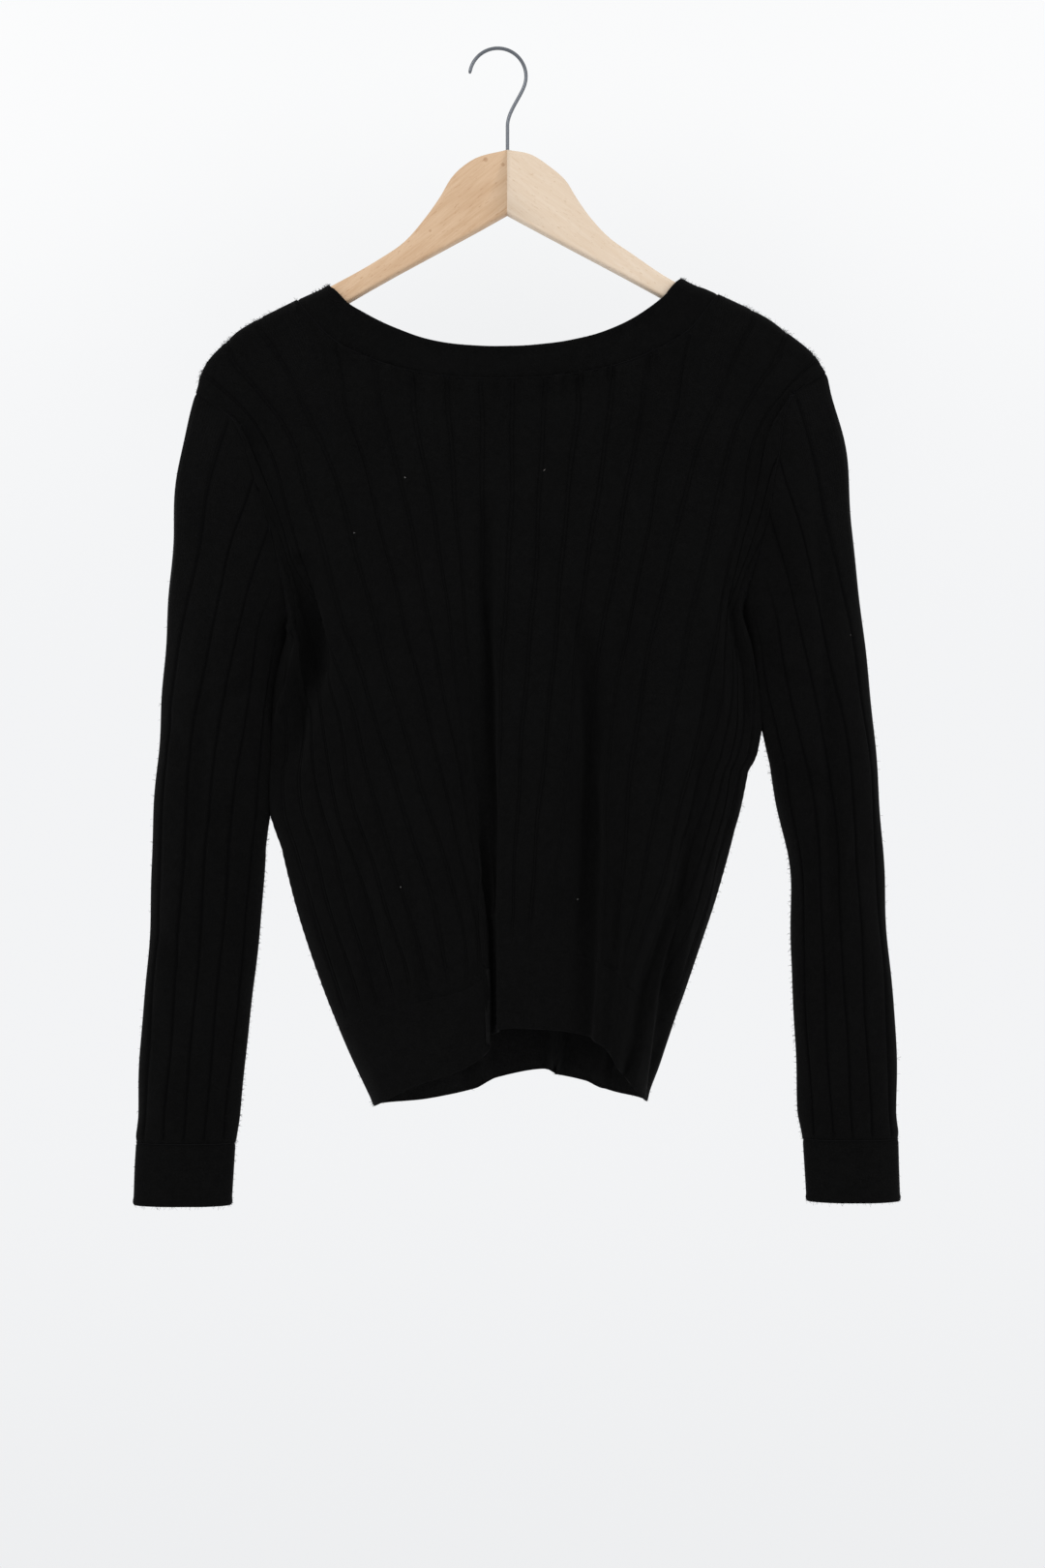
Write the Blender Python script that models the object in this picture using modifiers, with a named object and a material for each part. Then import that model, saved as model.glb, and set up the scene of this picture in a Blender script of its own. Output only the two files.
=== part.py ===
"""Wide-ribbed sweater with a broad scoop neck, hanging on a wooden hanger with a wire hook.

Metres, +Z up, the front faces -Y.  The origin is the inner top of the hook's crook, where the
hanger is held.  Left and right are as seen from the front.

The cloth is measured along "lines": line 0 is the left side seam, line 28 the right one, and a
whole line is the channel between two ribs.  Both panels, the sleeves and the bands share the same
lines where they meet, so each seam is one polyline with a narrow gap.
"""
import math
from collections import namedtuple

import bmesh
import bpy
import numpy as np
from mathutils import Vector

# ---------------------------------------------------------------- driving sizes
SEAM_GAP = 0.0003
WALL = 0.0014
RIB_RAISE = 0.0009
BAND_RAISE = 0.0004
RIB_EDGE = 0.12
FULL_RIB = 0.012

LAST_LINE = 28
CENTRE_LINE = 14
ARM_CORNER = 5.5
NECK_CORNER = 8.5
HEM_BAND = 0.054
CALM_NEAR_SIDE = 3
ARMPIT_CALM = 0.060
SLEEVE_CALM = 0.15
BODY_ROUND = 3
DRAPE_REACH = 0.070
LINES_TO_FULL_WRAP = 2.0
FRONT = -1.0
BACK = 1.0

HANGER_HALF = 0.0060
REST_GAP = 0.0006
WRAP = 0.0090
NECK_TURN = 0.25
NECK_SLANT = 0.005
SHOULDER_TILT = math.radians(29.0)

NECK_MIDDLE = 0.0069
NECK_HALF = 0.1500
NECK_DROP = 0.0550
NECK_FRONT = 0.0130
COLLAR_HALF = 0.1235
COLLAR_DROP = 0.0455
COLLAR_TOP = -0.1653
COLLAR_LEAN = 0.2
BEAD_RAISE = 0.0010
RIB_PITCH_AT_NECK = 0.0228
RIB_FAN_AT_NECK = 0.0001
NECK_CENTRE_X = 0.0107

ROW_STEPS = (0.0, 0.008, 0.016, 0.027, 0.06, 0.11, 0.18, 0.27, 0.37, 0.47, 0.57, 0.67, 0.77, 0.86, 0.93, 1.0)
SLEEVE_STEPS = (0.0, 0.035, 0.08, 0.15, 0.24, 0.34, 0.45, 0.57, 0.69, 0.80, 0.90, 1.0)
BAND_STEPS = (0.0, 0.5, 1.0)
NECKBAND_STEPS = (0.0, 0.35, 0.7, 1.0)
BEAD_STEP = 2
DIRECTION_STEP = 0.01
NEAR = 1e-6

# Outline and depth of the body, from the shoulder ends down to the hem.  Above the armpits the
# two edges lie out in the sleeves, where the lines beyond the armhole seams would run.
BodyRow = namedtuple("BodyRow", "height left_edge left_line right_line right_edge front back")
LEFT_LINE = 6
RIGHT_LINE = 22
BODY = (
    BodyRow(-0.224, -0.2450, -0.2087, 0.2191, 0.2400, 0.009, 0.009),
    BodyRow(-0.265, -0.2305, -0.1735, 0.1887, 0.2260, 0.013, 0.012),
    BodyRow(-0.330, -0.1800, -0.1487, 0.1715, 0.2095, 0.017, 0.016),
    BodyRow(-0.397, -0.1540, -0.1287, 0.1572, 0.1755, 0.022, 0.020),
    BodyRow(-0.464, -0.1555, -0.1038, 0.1473, 0.1790, 0.027, 0.021),
    BodyRow(-0.530, -0.1595, -0.0880, 0.1301, 0.1735, 0.032, 0.024),
    BodyRow(-0.596, -0.1473, -0.0666, 0.1121, 0.1577, 0.038, 0.028),
    BodyRow(-0.662, -0.1266, -0.0486, 0.0921, 0.1356, 0.043, 0.032),
    BodyRow(-0.709, -0.1080, -0.0411, 0.0852, 0.1197, 0.045, 0.034),
    BodyRow(-0.752, -0.0880, -0.0348, 0.0762, 0.1052, 0.045, 0.035),
)

# How far down a line, counted from the nearer side seam, its top end still draws it aside.
PullRow = namedtuple("PullRow", "from_side length")
TOP_PULL = (
    PullRow(0.0, 0.018),
    PullRow(4.0, 0.018),
    PullRow(5.0, 0.009),
    PullRow(5.5, 0.026),
    PullRow(8.5, 0.130),
)

# Height of the hem's lower edge along the lines.
HemRow = namedtuple("HemRow", "line front back")
HEM = (
    HemRow(0, -0.752, -0.752),
    HemRow(4, -0.734, -0.751),
    HemRow(8, -0.720, -0.744),
    HemRow(10, -0.709, -0.738),
    HemRow(14, -0.694, -0.730),
    HemRow(18, -0.697, -0.735),
    HemRow(22, -0.720, -0.744),
    HemRow(28, -0.749, -0.749),
)

# The largest folds.  Each is a valley along a line; "hidden" is the share of the ribs that it
# swallows, and it grows from "start" to "full" and dies away from "fade" to "end".
Fold = namedtuple("Fold", "line half depth hidden start full fade end")
NEVER = -2.0
FRONT_FOLDS = (
    Fold(12, 2.4, 0.024, 0.90, -0.335, -0.590, NEVER, NEVER - 1),
    Fold(18, 1.8, 0.009, 0.50, -0.378, -0.500, NEVER, NEVER - 1),
    Fold(20, 1.2, 0.004, 0.25, -0.516, -0.606, NEVER, NEVER - 1),
    Fold(23.5, 1.6, 0.008, 0.40, -0.544, -0.606, NEVER, NEVER - 1),
    Fold(4.2, 2.0, 0.007, 0.30, -0.350, -0.405, -0.430, -0.500),
    Fold(24.5, 2.6, 0.003, 0.20, -0.380, -0.430, -0.450, -0.520),
)
BACK_FOLDS = (
    Fold(16, 2.2, 0.016, 0.70, -0.360, -0.600, NEVER, NEVER - 1),
    Fold(9, 1.7, 0.008, 0.40, -0.420, -0.560, NEVER, NEVER - 1),
    Fold(21.0, 1.5, 0.007, 0.40, -0.470, -0.610, NEVER, NEVER - 1),
    Fold(4.0, 1.8, 0.006, 0.30, -0.350, -0.405, -0.440, -0.520),
)

# The armhole seams, from the shoulder end down to the armpit.
SeamRow = namedtuple("SeamRow", "line x height depth")
ARMHOLE_LEFT = (
    SeamRow(5.5, -0.2149, -0.2443, 0.0000),
    SeamRow(5, -0.1900, -0.2625, 0.0105),
    SeamRow(4, -0.1722, -0.3029, 0.0125),
    SeamRow(3, -0.1611, -0.3388, 0.0135),
    SeamRow(2, -0.1542, -0.3705, 0.0130),
    SeamRow(1, -0.1501, -0.3975, 0.0090),
    SeamRow(0, -0.1494, -0.4161, 0.0000),
)
ARMHOLE_RIGHT = (
    SeamRow(22.5, 0.2336, -0.2298, 0.0000),
    SeamRow(23, 0.2110, -0.2460, 0.0105),
    SeamRow(24, 0.1991, -0.2905, 0.0125),
    SeamRow(25, 0.1915, -0.3278, 0.0135),
    SeamRow(26, 0.1839, -0.3602, 0.0130),
    SeamRow(27, 0.1768, -0.3863, 0.0090),
    SeamRow(28, 0.1738, -0.4035, 0.0000),
)

# Which way the wall faces along an armhole seam: shares of outward, upward and downward.
FacingRow = namedtuple("FacingRow", "outward upward downward")
ARMHOLE_FACING = {
    5.5: FacingRow(0.0, 1.0, 0.0),
    5: FacingRow(0.85, 0.5, 0.0),
    4: FacingRow(1.0, 0.12, 0.0),
    3: FacingRow(1.0, 0.0, 0.0),
    2: FacingRow(1.0, 0.0, 0.15),
    1: FacingRow(0.8, 0.0, 0.6),
    0: FacingRow(0.0, 0.0, 1.0),
}
SHOULDER_END_TILT = 0.25
SLEEVE_FALL = 0.3

# The shoulder lines, over the hanger's arms.
SHOULDER_LEFT = (
    SeamRow(5.5, -0.2149, -0.2443, 0.0),
    SeamRow(6, -0.2111, -0.2305, 0.0),
    SeamRow(7, -0.1922, -0.2077, 0.0),
    SeamRow(8, -0.1694, -0.1918, 0.0),
    SeamRow(8.5, -0.1432, -0.1787, 0.0),
)
SHOULDER_RIGHT = (
    SeamRow(22.5, 0.2336, -0.2298, 0.0),
    SeamRow(22, 0.2256, -0.2187, 0.0),
    SeamRow(21, 0.2039, -0.2008, 0.0),
    SeamRow(20, 0.1818, -0.1863, 0.0),
    SeamRow(19.5, 0.1570, -0.1746, 0.0),
)

# The sleeves' outer and inner outlines and half depth, at equal heights along each edge.
SleeveRow = namedtuple("SleeveRow", "share outer_x outer_height inner_x inner_height depth")
SLEEVE_LEFT = (
    SleeveRow(0.00, -0.2149, -0.2443, -0.1494, -0.4161, 0.0135),
    SleeveRow(0.10, -0.2275, -0.2977, -0.1620, -0.4523, 0.0150),
    SleeveRow(0.20, -0.2308, -0.3511, -0.1655, -0.4885, 0.0175),
    SleeveRow(0.35, -0.2364, -0.4312, -0.1661, -0.5429, 0.0185),
    SleeveRow(0.50, -0.2425, -0.5113, -0.1677, -0.5972, 0.0180),
    SleeveRow(0.65, -0.2460, -0.5914, -0.1727, -0.6515, 0.0165),
    SleeveRow(0.80, -0.2508, -0.6715, -0.1793, -0.7059, 0.0150),
    SleeveRow(1.00, -0.2577, -0.7783, -0.1873, -0.7783, 0.0130),
)
SLEEVE_RIGHT = (
    SleeveRow(0.00, 0.2336, -0.2298, 0.1738, -0.4035, 0.0135),
    SleeveRow(0.10, 0.2462, -0.2844, 0.1845, -0.4400, 0.0150),
    SleeveRow(0.20, 0.2524, -0.3390, 0.1900, -0.4770, 0.0175),
    SleeveRow(0.35, 0.2600, -0.4208, 0.1992, -0.5330, 0.0185),
    SleeveRow(0.50, 0.2690, -0.5027, 0.2088, -0.5890, 0.0180),
    SleeveRow(0.65, 0.2745, -0.5846, 0.2101, -0.6449, 0.0165),
    SleeveRow(0.80, 0.2800, -0.6664, 0.2119, -0.7009, 0.0150),
    SleeveRow(1.00, 0.2853, -0.7756, 0.2177, -0.7756, 0.0130),
)
# Where each sleeve line lies between the outer edge (0) and the inner edge (1).
SLEEVE_ACROSS = {5.5: 0.0, 5: 0.09, 4: 0.30, 3: 0.50, 2: 0.70, 1: 0.89, 0: 1.0}
SLEEVE_ROUND = 2.4
SEAM_SHAPE_FADES = 0.45
SLEEVE_SETTLES = 0.25
CUFF_HEIGHT = 0.044
CUFF_LEAN = 0.0021
CUFF_TAPER = 0.02

# The hanger: outline points of the left arm's and right arm's visible edges.
ARM_HEIGHT = 0.0225
JOINT_X = 0.0066
JOINT_TOP = -0.0718
LEFT_TOP = ((-0.0176, -0.0787), (-0.0314, -0.0897), (-0.0417, -0.1063), (-0.0521, -0.1208),
            (-0.0673, -0.1380), (-0.0845, -0.1497), (-0.1170, -0.1680))
RIGHT_TOP = ((0.0238, -0.0752), (0.0376, -0.0842), (0.0480, -0.0932), (0.0562, -0.1063),
             (0.0666, -0.1208), (0.0804, -0.1352), (0.0942, -0.1449), (0.1301, -0.1677))
JOINT_FOOT = -0.1173
TipRow = namedtuple("TipRow", "inward down")
TIP_TOP = TipRow(0.0035, 0.0015)
TIP_END = TipRow(0.0010, 0.0090)
TIP_FOOT = TipRow(0.0080, 0.0135)
EDGE_ROUND = 0.0040
EDGE_STEPS = 2
EDGE_ANGLE = math.radians(50.0)

# The wire hook.
WIRE = 0.0015
CROOK = 0.0201
CROOK_TIP = math.radians(174.0)
CROOK_HEEL = math.radians(-8.0)
SHANK_X = 0.0069
SHANK_TOP = -0.0540
SHANK_FOOT = -0.0727
CROOK_STEPS = 14
SWEEP_STEPS = 8
HEEL_PULL = 0.030
FOOT_PULL = -0.034
WIRE_FACETS = 2

CLOTH_BLACK = (0.010, 0.010, 0.011)
WOOD_WARM = (0.66, 0.45, 0.29)
WOOD_PALE = (0.78, 0.65, 0.48)
STEEL = (0.60, 0.60, 0.60)
CLOTH_DULL = 0.95
WOOD_DULL = 0.55
STEEL_DULL = 0.30


# ---------------------------------------------------------------- helpers
def read(rows, key, column, at):
    """Smooth value of a table's column where its key column equals at."""
    keys = np.array([getattr(row, key) for row in rows], dtype=float)
    values = np.array([getattr(row, column) for row in rows], dtype=float)
    if keys[0] > keys[-1]:
        keys = keys[::-1]
        values = values[::-1]
    at = min(max(at, keys[0]), keys[-1])
    slopes = np.gradient(values, keys)
    low = min(max(int(np.searchsorted(keys, at)) - 1, 0), len(keys) - 2)
    span = keys[low + 1] - keys[low]
    part = (at - keys[low]) / span
    rest = 1.0 - part
    ends = values[low] * (1 + 2 * part) * rest ** 2 + values[low + 1] * (3 - 2 * part) * part ** 2
    bends = slopes[low] * part * rest ** 2 - slopes[low + 1] * part ** 2 * rest
    return float(ends + bends * span)


def ease(value):
    value = min(max(value, 0.0), 1.0)
    return value * value * (3.0 - 2.0 * value)


def material(name, colour, roughness, metallic=0.0):
    made = bpy.data.materials.new(name)
    made.use_nodes = True
    shader = made.node_tree.nodes["Principled BSDF"]
    shader.inputs["Base Color"].default_value = (*colour, 1.0)
    shader.inputs["Roughness"].default_value = roughness
    shader.inputs["Metallic"].default_value = metallic
    return made


def add_object(name, data, finish):
    made = bpy.data.objects.new(name, data)
    made.data.materials.append(finish)
    parts.objects.link(made)
    return made


# ---------------------------------------------------------------- the body's surface
def folds_of(face):
    return FRONT_FOLDS if face == FRONT else BACK_FOLDS


def fold_strength(fold, height):
    grown = ease((fold.start - height) / (fold.start - fold.full))
    gone = ease((fold.fade - height) / (fold.fade - fold.end))
    return grown * (1.0 - gone)


def hidden_ribs(fold, line):
    """Ribs swallowed between line 0 and line by a fold at full strength."""
    reach = min(max((line - fold.line) / fold.half, -1.0), 1.0)
    return fold.hidden * fold.half * (reach - reach ** 5 / 5.0 + 0.8)


def shown_ribs(line, height, face):
    return line - sum(hidden_ribs(f, line) * fold_strength(f, height) for f in folds_of(face))


def body_x(line, height, face):
    if line < LEFT_LINE:
        low, high, ends = 0, LEFT_LINE, ("left_edge", "left_line")
    elif line <= RIGHT_LINE:
        low, high, ends = LEFT_LINE, RIGHT_LINE, ("left_line", "right_line")
    else:
        low, high, ends = RIGHT_LINE, LAST_LINE, ("right_line", "right_edge")
    first = shown_ribs(low, height, face)
    share = (shown_ribs(line, height, face) - first) / (shown_ribs(high, height, face) - first)
    start = read(BODY, "height", ends[0], height)
    return start + (read(BODY, "height", ends[1], height) - start) * share


def fold_depth(line, height, face):
    depth = 0.0
    for fold in folds_of(face):
        reach = (line - fold.line) / fold.half
        if abs(reach) < 1.0:
            depth += fold.depth * math.cos(reach * math.pi / 2) ** 2 * fold_strength(fold, height)
    return depth


def body_depth(line, height, face):
    across = abs(line - CENTRE_LINE) / CENTRE_LINE
    bulge = math.sqrt(max(1.0 - across ** BODY_ROUND, 0.0))
    full = read(BODY, "height", "front" if face == FRONT else "back", height)
    return full * bulge - fold_depth(line, height, face)


def body_point(line, height, face):
    return Vector((body_x(line, height, face), face * body_depth(line, height, face), height))


# ---------------------------------------------------------------- the panels' top edge
def neck_seam(line, face):
    """Seam of the neckband, and how far it has turned over the hanger's arm."""
    corners = (SHOULDER_LEFT[-1], SHOULDER_RIGHT[-1])
    corner = corners[0] if line < CENTRE_LINE else corners[1]
    inward = min(abs(line - corner.line), 1.0)
    if inward <= NECK_TURN:
        turn = inward / NECK_TURN * math.pi / 2
        drop = WRAP * (1.0 - math.cos(turn))
        slant = NECK_SLANT * (1.0 - math.cos(turn))
        x = corner.x + math.copysign(slant, NECK_MIDDLE - corner.x)
        height = corner.height - drop + slant * math.tan(SHOULDER_TILT)
        place = Vector((x, face * WRAP * math.sin(turn), height))
        return place, turn
    count = line - CENTRE_LINE
    x = NECK_CENTRE_X + RIB_PITCH_AT_NECK * count + RIB_FAN_AT_NECK * count ** 3
    side = (x - NECK_MIDDLE) / NECK_HALF
    top = corners[0].height + (corners[1].height - corners[0].height) * (side + 1) / 2
    depth = WRAP + (NECK_FRONT - WRAP) * math.sqrt(1.0 - abs(side))
    return Vector((x, face * depth, top - NECK_DROP * math.sqrt(1.0 - side * side))), math.pi / 2


def top_edge(line, face):
    """Top point of a line on a panel, and how far it has turned over the hanger's arm."""
    if ARM_CORNER <= line <= NECK_CORNER or ARM_CORNER <= LAST_LINE - line <= NECK_CORNER:
        rows = SHOULDER_LEFT if line < CENTRE_LINE else SHOULDER_RIGHT
        return Vector((read(rows, "line", "x", line), 0.0, read(rows, "line", "height", line))), 0.0
    if NECK_CORNER < line < LAST_LINE - NECK_CORNER:
        return neck_seam(line, face)
    rows = ARMHOLE_LEFT if line < CENTRE_LINE else ARMHOLE_RIGHT
    row = next(row for row in rows if row.line == line)
    return Vector((row.x, face * row.depth, row.height)), math.pi / 2


def hem_height(line, face):
    return read(HEM, "line", "front" if face == FRONT else "back", line)


def panel_point(line, step, face):
    top, turn = top_edge(line, face)
    foot = hem_height(line, face) + HEM_BAND
    walked = step * (top.z - foot)
    left = (math.pi / 2 - turn) * WRAP
    if walked < left:
        angle = turn + walked / WRAP
        place = top.copy()
        place.y = face * WRAP * math.sin(angle)
        place.z = top.z - WRAP * (math.cos(turn) - math.cos(angle))
        rim_y = place.y
    else:
        place = Vector((top.x, 0.0, top.z - WRAP * math.cos(turn) - (walked - left)))
        rim_y = top.y if turn == math.pi / 2 else face * WRAP
    if step == 1.0:
        place.z = foot
    start = body_point(line, top.z, face)
    free = body_point(line, place.z, face)
    from_side = min(line, LAST_LINE - line)
    near_neck = min(max((from_side - ARM_CORNER) / LINES_TO_FULL_WRAP, 0.0), 1.0)
    past_wrap = max(walked - max(left, 0.0) * near_neck, 0.0)
    length = float(np.interp(from_side, *zip(*TOP_PULL)))
    pull = max(1.0 - past_wrap / length, 0.0)
    place.x = free.x + (top.x - start.x) * pull ** 2
    place.y = free.y + (rim_y - start.y) * (1.0 - ease((top.z - place.z) / DRAPE_REACH))
    if walked < left:
        place.y = rim_y
    return place


# ---------------------------------------------------------------- walls of cloth
def grid_normals(grid, closed, outside):
    """Unit normals of a grid of points, all turned to the side that outside names on the whole."""
    rows, lines = len(grid), len(grid[0])
    normals = []
    for r in range(rows):
        line_normals = []
        for k in range(lines):
            if closed:
                along = grid[r][(k + 1) % lines] - grid[r][k - 1]
            else:
                along = grid[r][min(k + 1, lines - 1)] - grid[r][max(k - 1, 0)]
            down = grid[min(r + 1, rows - 1)][k] - grid[max(r - 1, 0)][k]
            line_normals.append(along.cross(down).normalized())
        normals.append(line_normals)
    agree = sum(normals[r][k].dot(outside(r, k)) for r in range(rows) for k in range(lines))
    if agree < 0:
        normals = [[-normal for normal in row] for row in normals]
    return normals


def rib_columns(lines):
    """Columns of the outer side: each line, and the two edges of each rib between the lines."""
    marks = set(lines)
    for line in lines:
        if line == int(line):
            marks.update({line + RIB_EDGE, line + 1 - RIB_EDGE})
    return [mark for mark in sorted(marks) if lines[0] <= mark <= lines[-1]]


def build_wall(name, grid, normals, columns, closed, finish, raised, wall=WALL):
    """A closed wall: outer points on the columns, inner points on the grid's own lines.

    columns holds for each interval of the grid the shares at which outer points stand;
    raised(row, interval, share) gives how far an outer point stands out.
    """
    made = bmesh.new()
    count = len(grid[0])
    spans = count if closed else count - 1
    outer, inner, starts = [], [], []
    for r, row in enumerate(grid):
        outer_row = []
        starts = []
        for k in range(spans):
            after = (k + 1) % count
            starts.append(len(outer_row))
            for share in columns[k]:
                base = row[k].lerp(row[after], share)
                normal = normals[r][k].lerp(normals[r][after], share).normalized()
                outer_row.append(made.verts.new(base + normal * raised(r, k, share)))
        if not closed:
            starts.append(len(outer_row))
            outer_row.append(made.verts.new(row[-1] + normals[r][-1] * raised(r, spans - 1, 1.0)))
        outer.append(outer_row)
        inner.append([made.verts.new(row[k] - normals[r][k] * wall) for k in range(count)])
    width = len(outer[0])
    steps = width if closed else width - 1
    for r in range(len(grid) - 1):
        for k in range(steps):
            after = (k + 1) % width
            made.faces.new((outer[r][k], outer[r][after], outer[r + 1][after], outer[r + 1][k]))
        for k in range(spans):
            after = (k + 1) % count
            made.faces.new((inner[r][after], inner[r][k], inner[r + 1][k], inner[r + 1][after]))
    for r in (0, len(grid) - 1):
        for k in range(spans):
            low, high = inner[r][k], inner[r][(k + 1) % count]
            end = starts[k + 1] if k + 1 < len(starts) else width
            rim = [outer[r][c % width] for c in range(starts[k], end + 1)]
            if low.co.z < high.co.z:
                fans = [(low, rim[-1], high)] + [(low, a, b) for a, b in zip(rim, rim[1:])]
            else:
                fans = [(high, low, rim[0])] + [(high, a, b) for a, b in zip(rim, rim[1:])]
            for fan in fans:
                made.faces.new(fan)
    if not closed:
        for r in range(len(grid) - 1):
            for k in (0, -1):
                side = (outer[r][k], inner[r][k], inner[r + 1][k], outer[r + 1][k])
                made.faces.new(side if k else side[::-1])
    bmesh.ops.recalc_face_normals(made, faces=made.faces)
    mesh = bpy.data.meshes.new(name)
    made.to_mesh(mesh)
    made.free()
    return add_object(name, mesh, finish)


# ---------------------------------------------------------------- seams
def across_seam(points, normals, towards):
    """Unit directions across a seam polyline, square to its normals."""
    result = []
    for k, normal in enumerate(normals):
        tangent = points[min(k + 1, len(points) - 1)] - points[max(k - 1, 0)]
        across = tangent.cross(normal).normalized()
        if across.dot(towards[k]) < 0:
            across.negate()
        result.append(across)
    return result


def armhole_frame(rows, side, face):
    """Points, wall normals and directions across the armhole seam, from the shoulder end down."""
    facing = Vector((0.0, face, 0.0))
    end_normal = Vector((side * math.cos(SHOULDER_END_TILT), 0.0, math.sin(SHOULDER_END_TILT)))
    points = [Vector((row.x, face * row.depth, row.height)) for row in rows]
    normals = []
    towards = []
    for row in rows:
        line = row.line if side < 0 else LAST_LINE - row.line
        shares = ARMHOLE_FACING[line]
        under = Vector((0.0, 0.0, -shares.downward))
        normals.append((facing * shares.outward + end_normal * shares.upward + under).normalized())
        towards.append(Vector((side, 0.0, -SLEEVE_FALL)))
    for k in range(1, len(points) - 1):
        tangent = (points[k + 1] - points[k - 1]).normalized()
        normals[k] = (normals[k] - tangent * normals[k].dot(tangent)).normalized()
    across = across_seam(points, normals, towards)
    across[0] = Vector((-end_normal.z, 0.0, end_normal.x))
    if across[0].z > 0:
        across[0].negate()
    across[-1] = Vector((side, 0.0, 0.0))
    return points, normals, across


def neck_lines():
    lines = [NECK_CORNER, NECK_CORNER + NECK_TURN / 2, NECK_CORNER + NECK_TURN]
    lines += list(range(9, LAST_LINE - 8))
    return lines + [LAST_LINE - line for line in lines[2::-1]]


def neck_frame(face):
    """Points, wall normals and directions across the neck seam, from left to right."""
    facing = Vector((0.0, face, 0.0))
    points, normals, towards = [], [], []
    for line in neck_lines():
        side = -1.0 if line < CENTRE_LINE else 1.0
        rise = Vector((side * math.sin(SHOULDER_TILT), 0.0, math.cos(SHOULDER_TILT)))
        place, turn = neck_seam(line, face)
        points.append(place)
        normals.append((rise * math.cos(turn) + facing * math.sin(turn)).normalized())
        middle = Vector((NECK_MIDDLE, place.y, COLLAR_TOP))
        towards.append(middle - place)
    for k in range(1, len(points) - 1):
        tangent = (points[k + 1] - points[k - 1]).normalized()
        normals[k] = (normals[k] - tangent * normals[k].dot(tangent)).normalized()
    across = across_seam(points, normals, towards)
    for k, side in ((0, -1.0), (-1, 1.0)):
        across[k] = Vector((-side * math.cos(SHOULDER_TILT), 0.0, math.sin(SHOULDER_TILT)))
    return points, normals, across


# ---------------------------------------------------------------- garment pieces
def panel_lines():
    corners = {ARM_CORNER, NECK_CORNER, NECK_CORNER + NECK_TURN / 2, NECK_CORNER + NECK_TURN}
    mirrored = {LAST_LINE - corner for corner in corners}
    return sorted(set(range(LAST_LINE + 1)) | corners | mirrored)


def make_panel(name, face, finish):
    lines = panel_lines()
    grid = [[panel_point(line, step, face) for line in lines] for step in ROW_STEPS]
    normals = grid_normals(grid, False, lambda r, k: Vector((0.0, face, 0.0)))
    seam_half = SEAM_GAP / 2
    for k, line in enumerate(lines):
        from_side = min(line, LAST_LINE - line)
        if ARM_CORNER < from_side < NECK_CORNER:
            side = -1.0 if line < CENTRE_LINE else 1.0
            after = top_edge(lines[k + 1], face)[0]
            before = top_edge(lines[k - 1], face)[0]
            slope = (after - before).normalized()
            normals[0][k] = Vector((-slope.z, 0.0, slope.x))
            if normals[0][k].z < 0:
                normals[0][k].negate()
            grid[0][k].y = face * seam_half
    for k in (0, -1):
        for r in range(1, len(grid)):
            side = -1.0 if k == 0 else 1.0
            down = grid[min(r + 1, len(grid) - 1)][k] - grid[r - 1][k]
            down.y = 0.0
            flat = Vector((-down.z, 0.0, down.x)).normalized()
            if flat.x * side < 0:
                flat.negate()
            normals[r][k] = flat
            grid[r][k].y = face * seam_half

    def set_top(frame, numbers):
        for place, normal, across, line in zip(*frame, numbers):
            k = lines.index(line)
            grid[0][k] = place - across * seam_half
            normals[0][k] = normal
            if abs(place.y) < seam_half:
                grid[0][k].y = face * seam_half

    set_top(armhole_frame(ARMHOLE_LEFT, -1.0, face), [row.line for row in ARMHOLE_LEFT])
    set_top(armhole_frame(ARMHOLE_RIGHT, 1.0, face), [row.line for row in ARMHOLE_RIGHT])
    set_top(neck_frame(face), neck_lines())
    bottom, bottom_normals, bottom_across = hem_frame(face)
    for k, line in enumerate(lines):
        if line in bottom:
            grid[-1][k] = bottom[line] - bottom_across[line] * seam_half
            normals[-1][k] = bottom_normals[line]
            if line in (0, LAST_LINE):
                grid[-1][k].y = face * seam_half
    for k, line in enumerate(lines):
        if line not in bottom:
            low = lines.index(int(line))
            high = lines.index(int(line) + 1)
            share = line - int(line)
            grid[-1][k] = grid[-1][low].lerp(grid[-1][high], share)
            normals[-1][k] = normals[-1][low].lerp(normals[-1][high], share).normalized()

    marks = rib_columns(lines)
    columns = []
    for k in range(len(lines) - 1):
        low, high = lines[k], lines[k + 1]
        columns.append([(mark - low) / (high - low) for mark in marks if low <= mark < high - NEAR])

    def raised(r, k, share):
        line = lines[k] + (lines[k + 1] - lines[k]) * share
        if abs(line - round(line)) < NEAR:
            return 0.0
        low = lines.index(int(line))
        high = lines.index(int(line) + 1)
        pitch = (grid[r][low] - grid[r][high]).length
        calm = 1.0
        for fold in folds_of(face):
            reach = min(abs(line - fold.line) / fold.half, 1.0)
            calm = min(calm, 1.0 - fold.hidden * (1.0 - reach ** 4) * fold_strength(fold, grid[r][k].z))
        from_side = min(line, LAST_LINE - line)
        if from_side < CALM_NEAR_SIDE:
            side_top = grid[0][0].z if line < CENTRE_LINE else grid[0][-1].z
            calm *= ease((side_top - grid[r][k].z) / ARMPIT_CALM)
        return RIB_RAISE * min(pitch / FULL_RIB, 1.0) ** 2 * calm

    return build_wall(name, grid, normals, columns, False, finish, raised)


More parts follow.
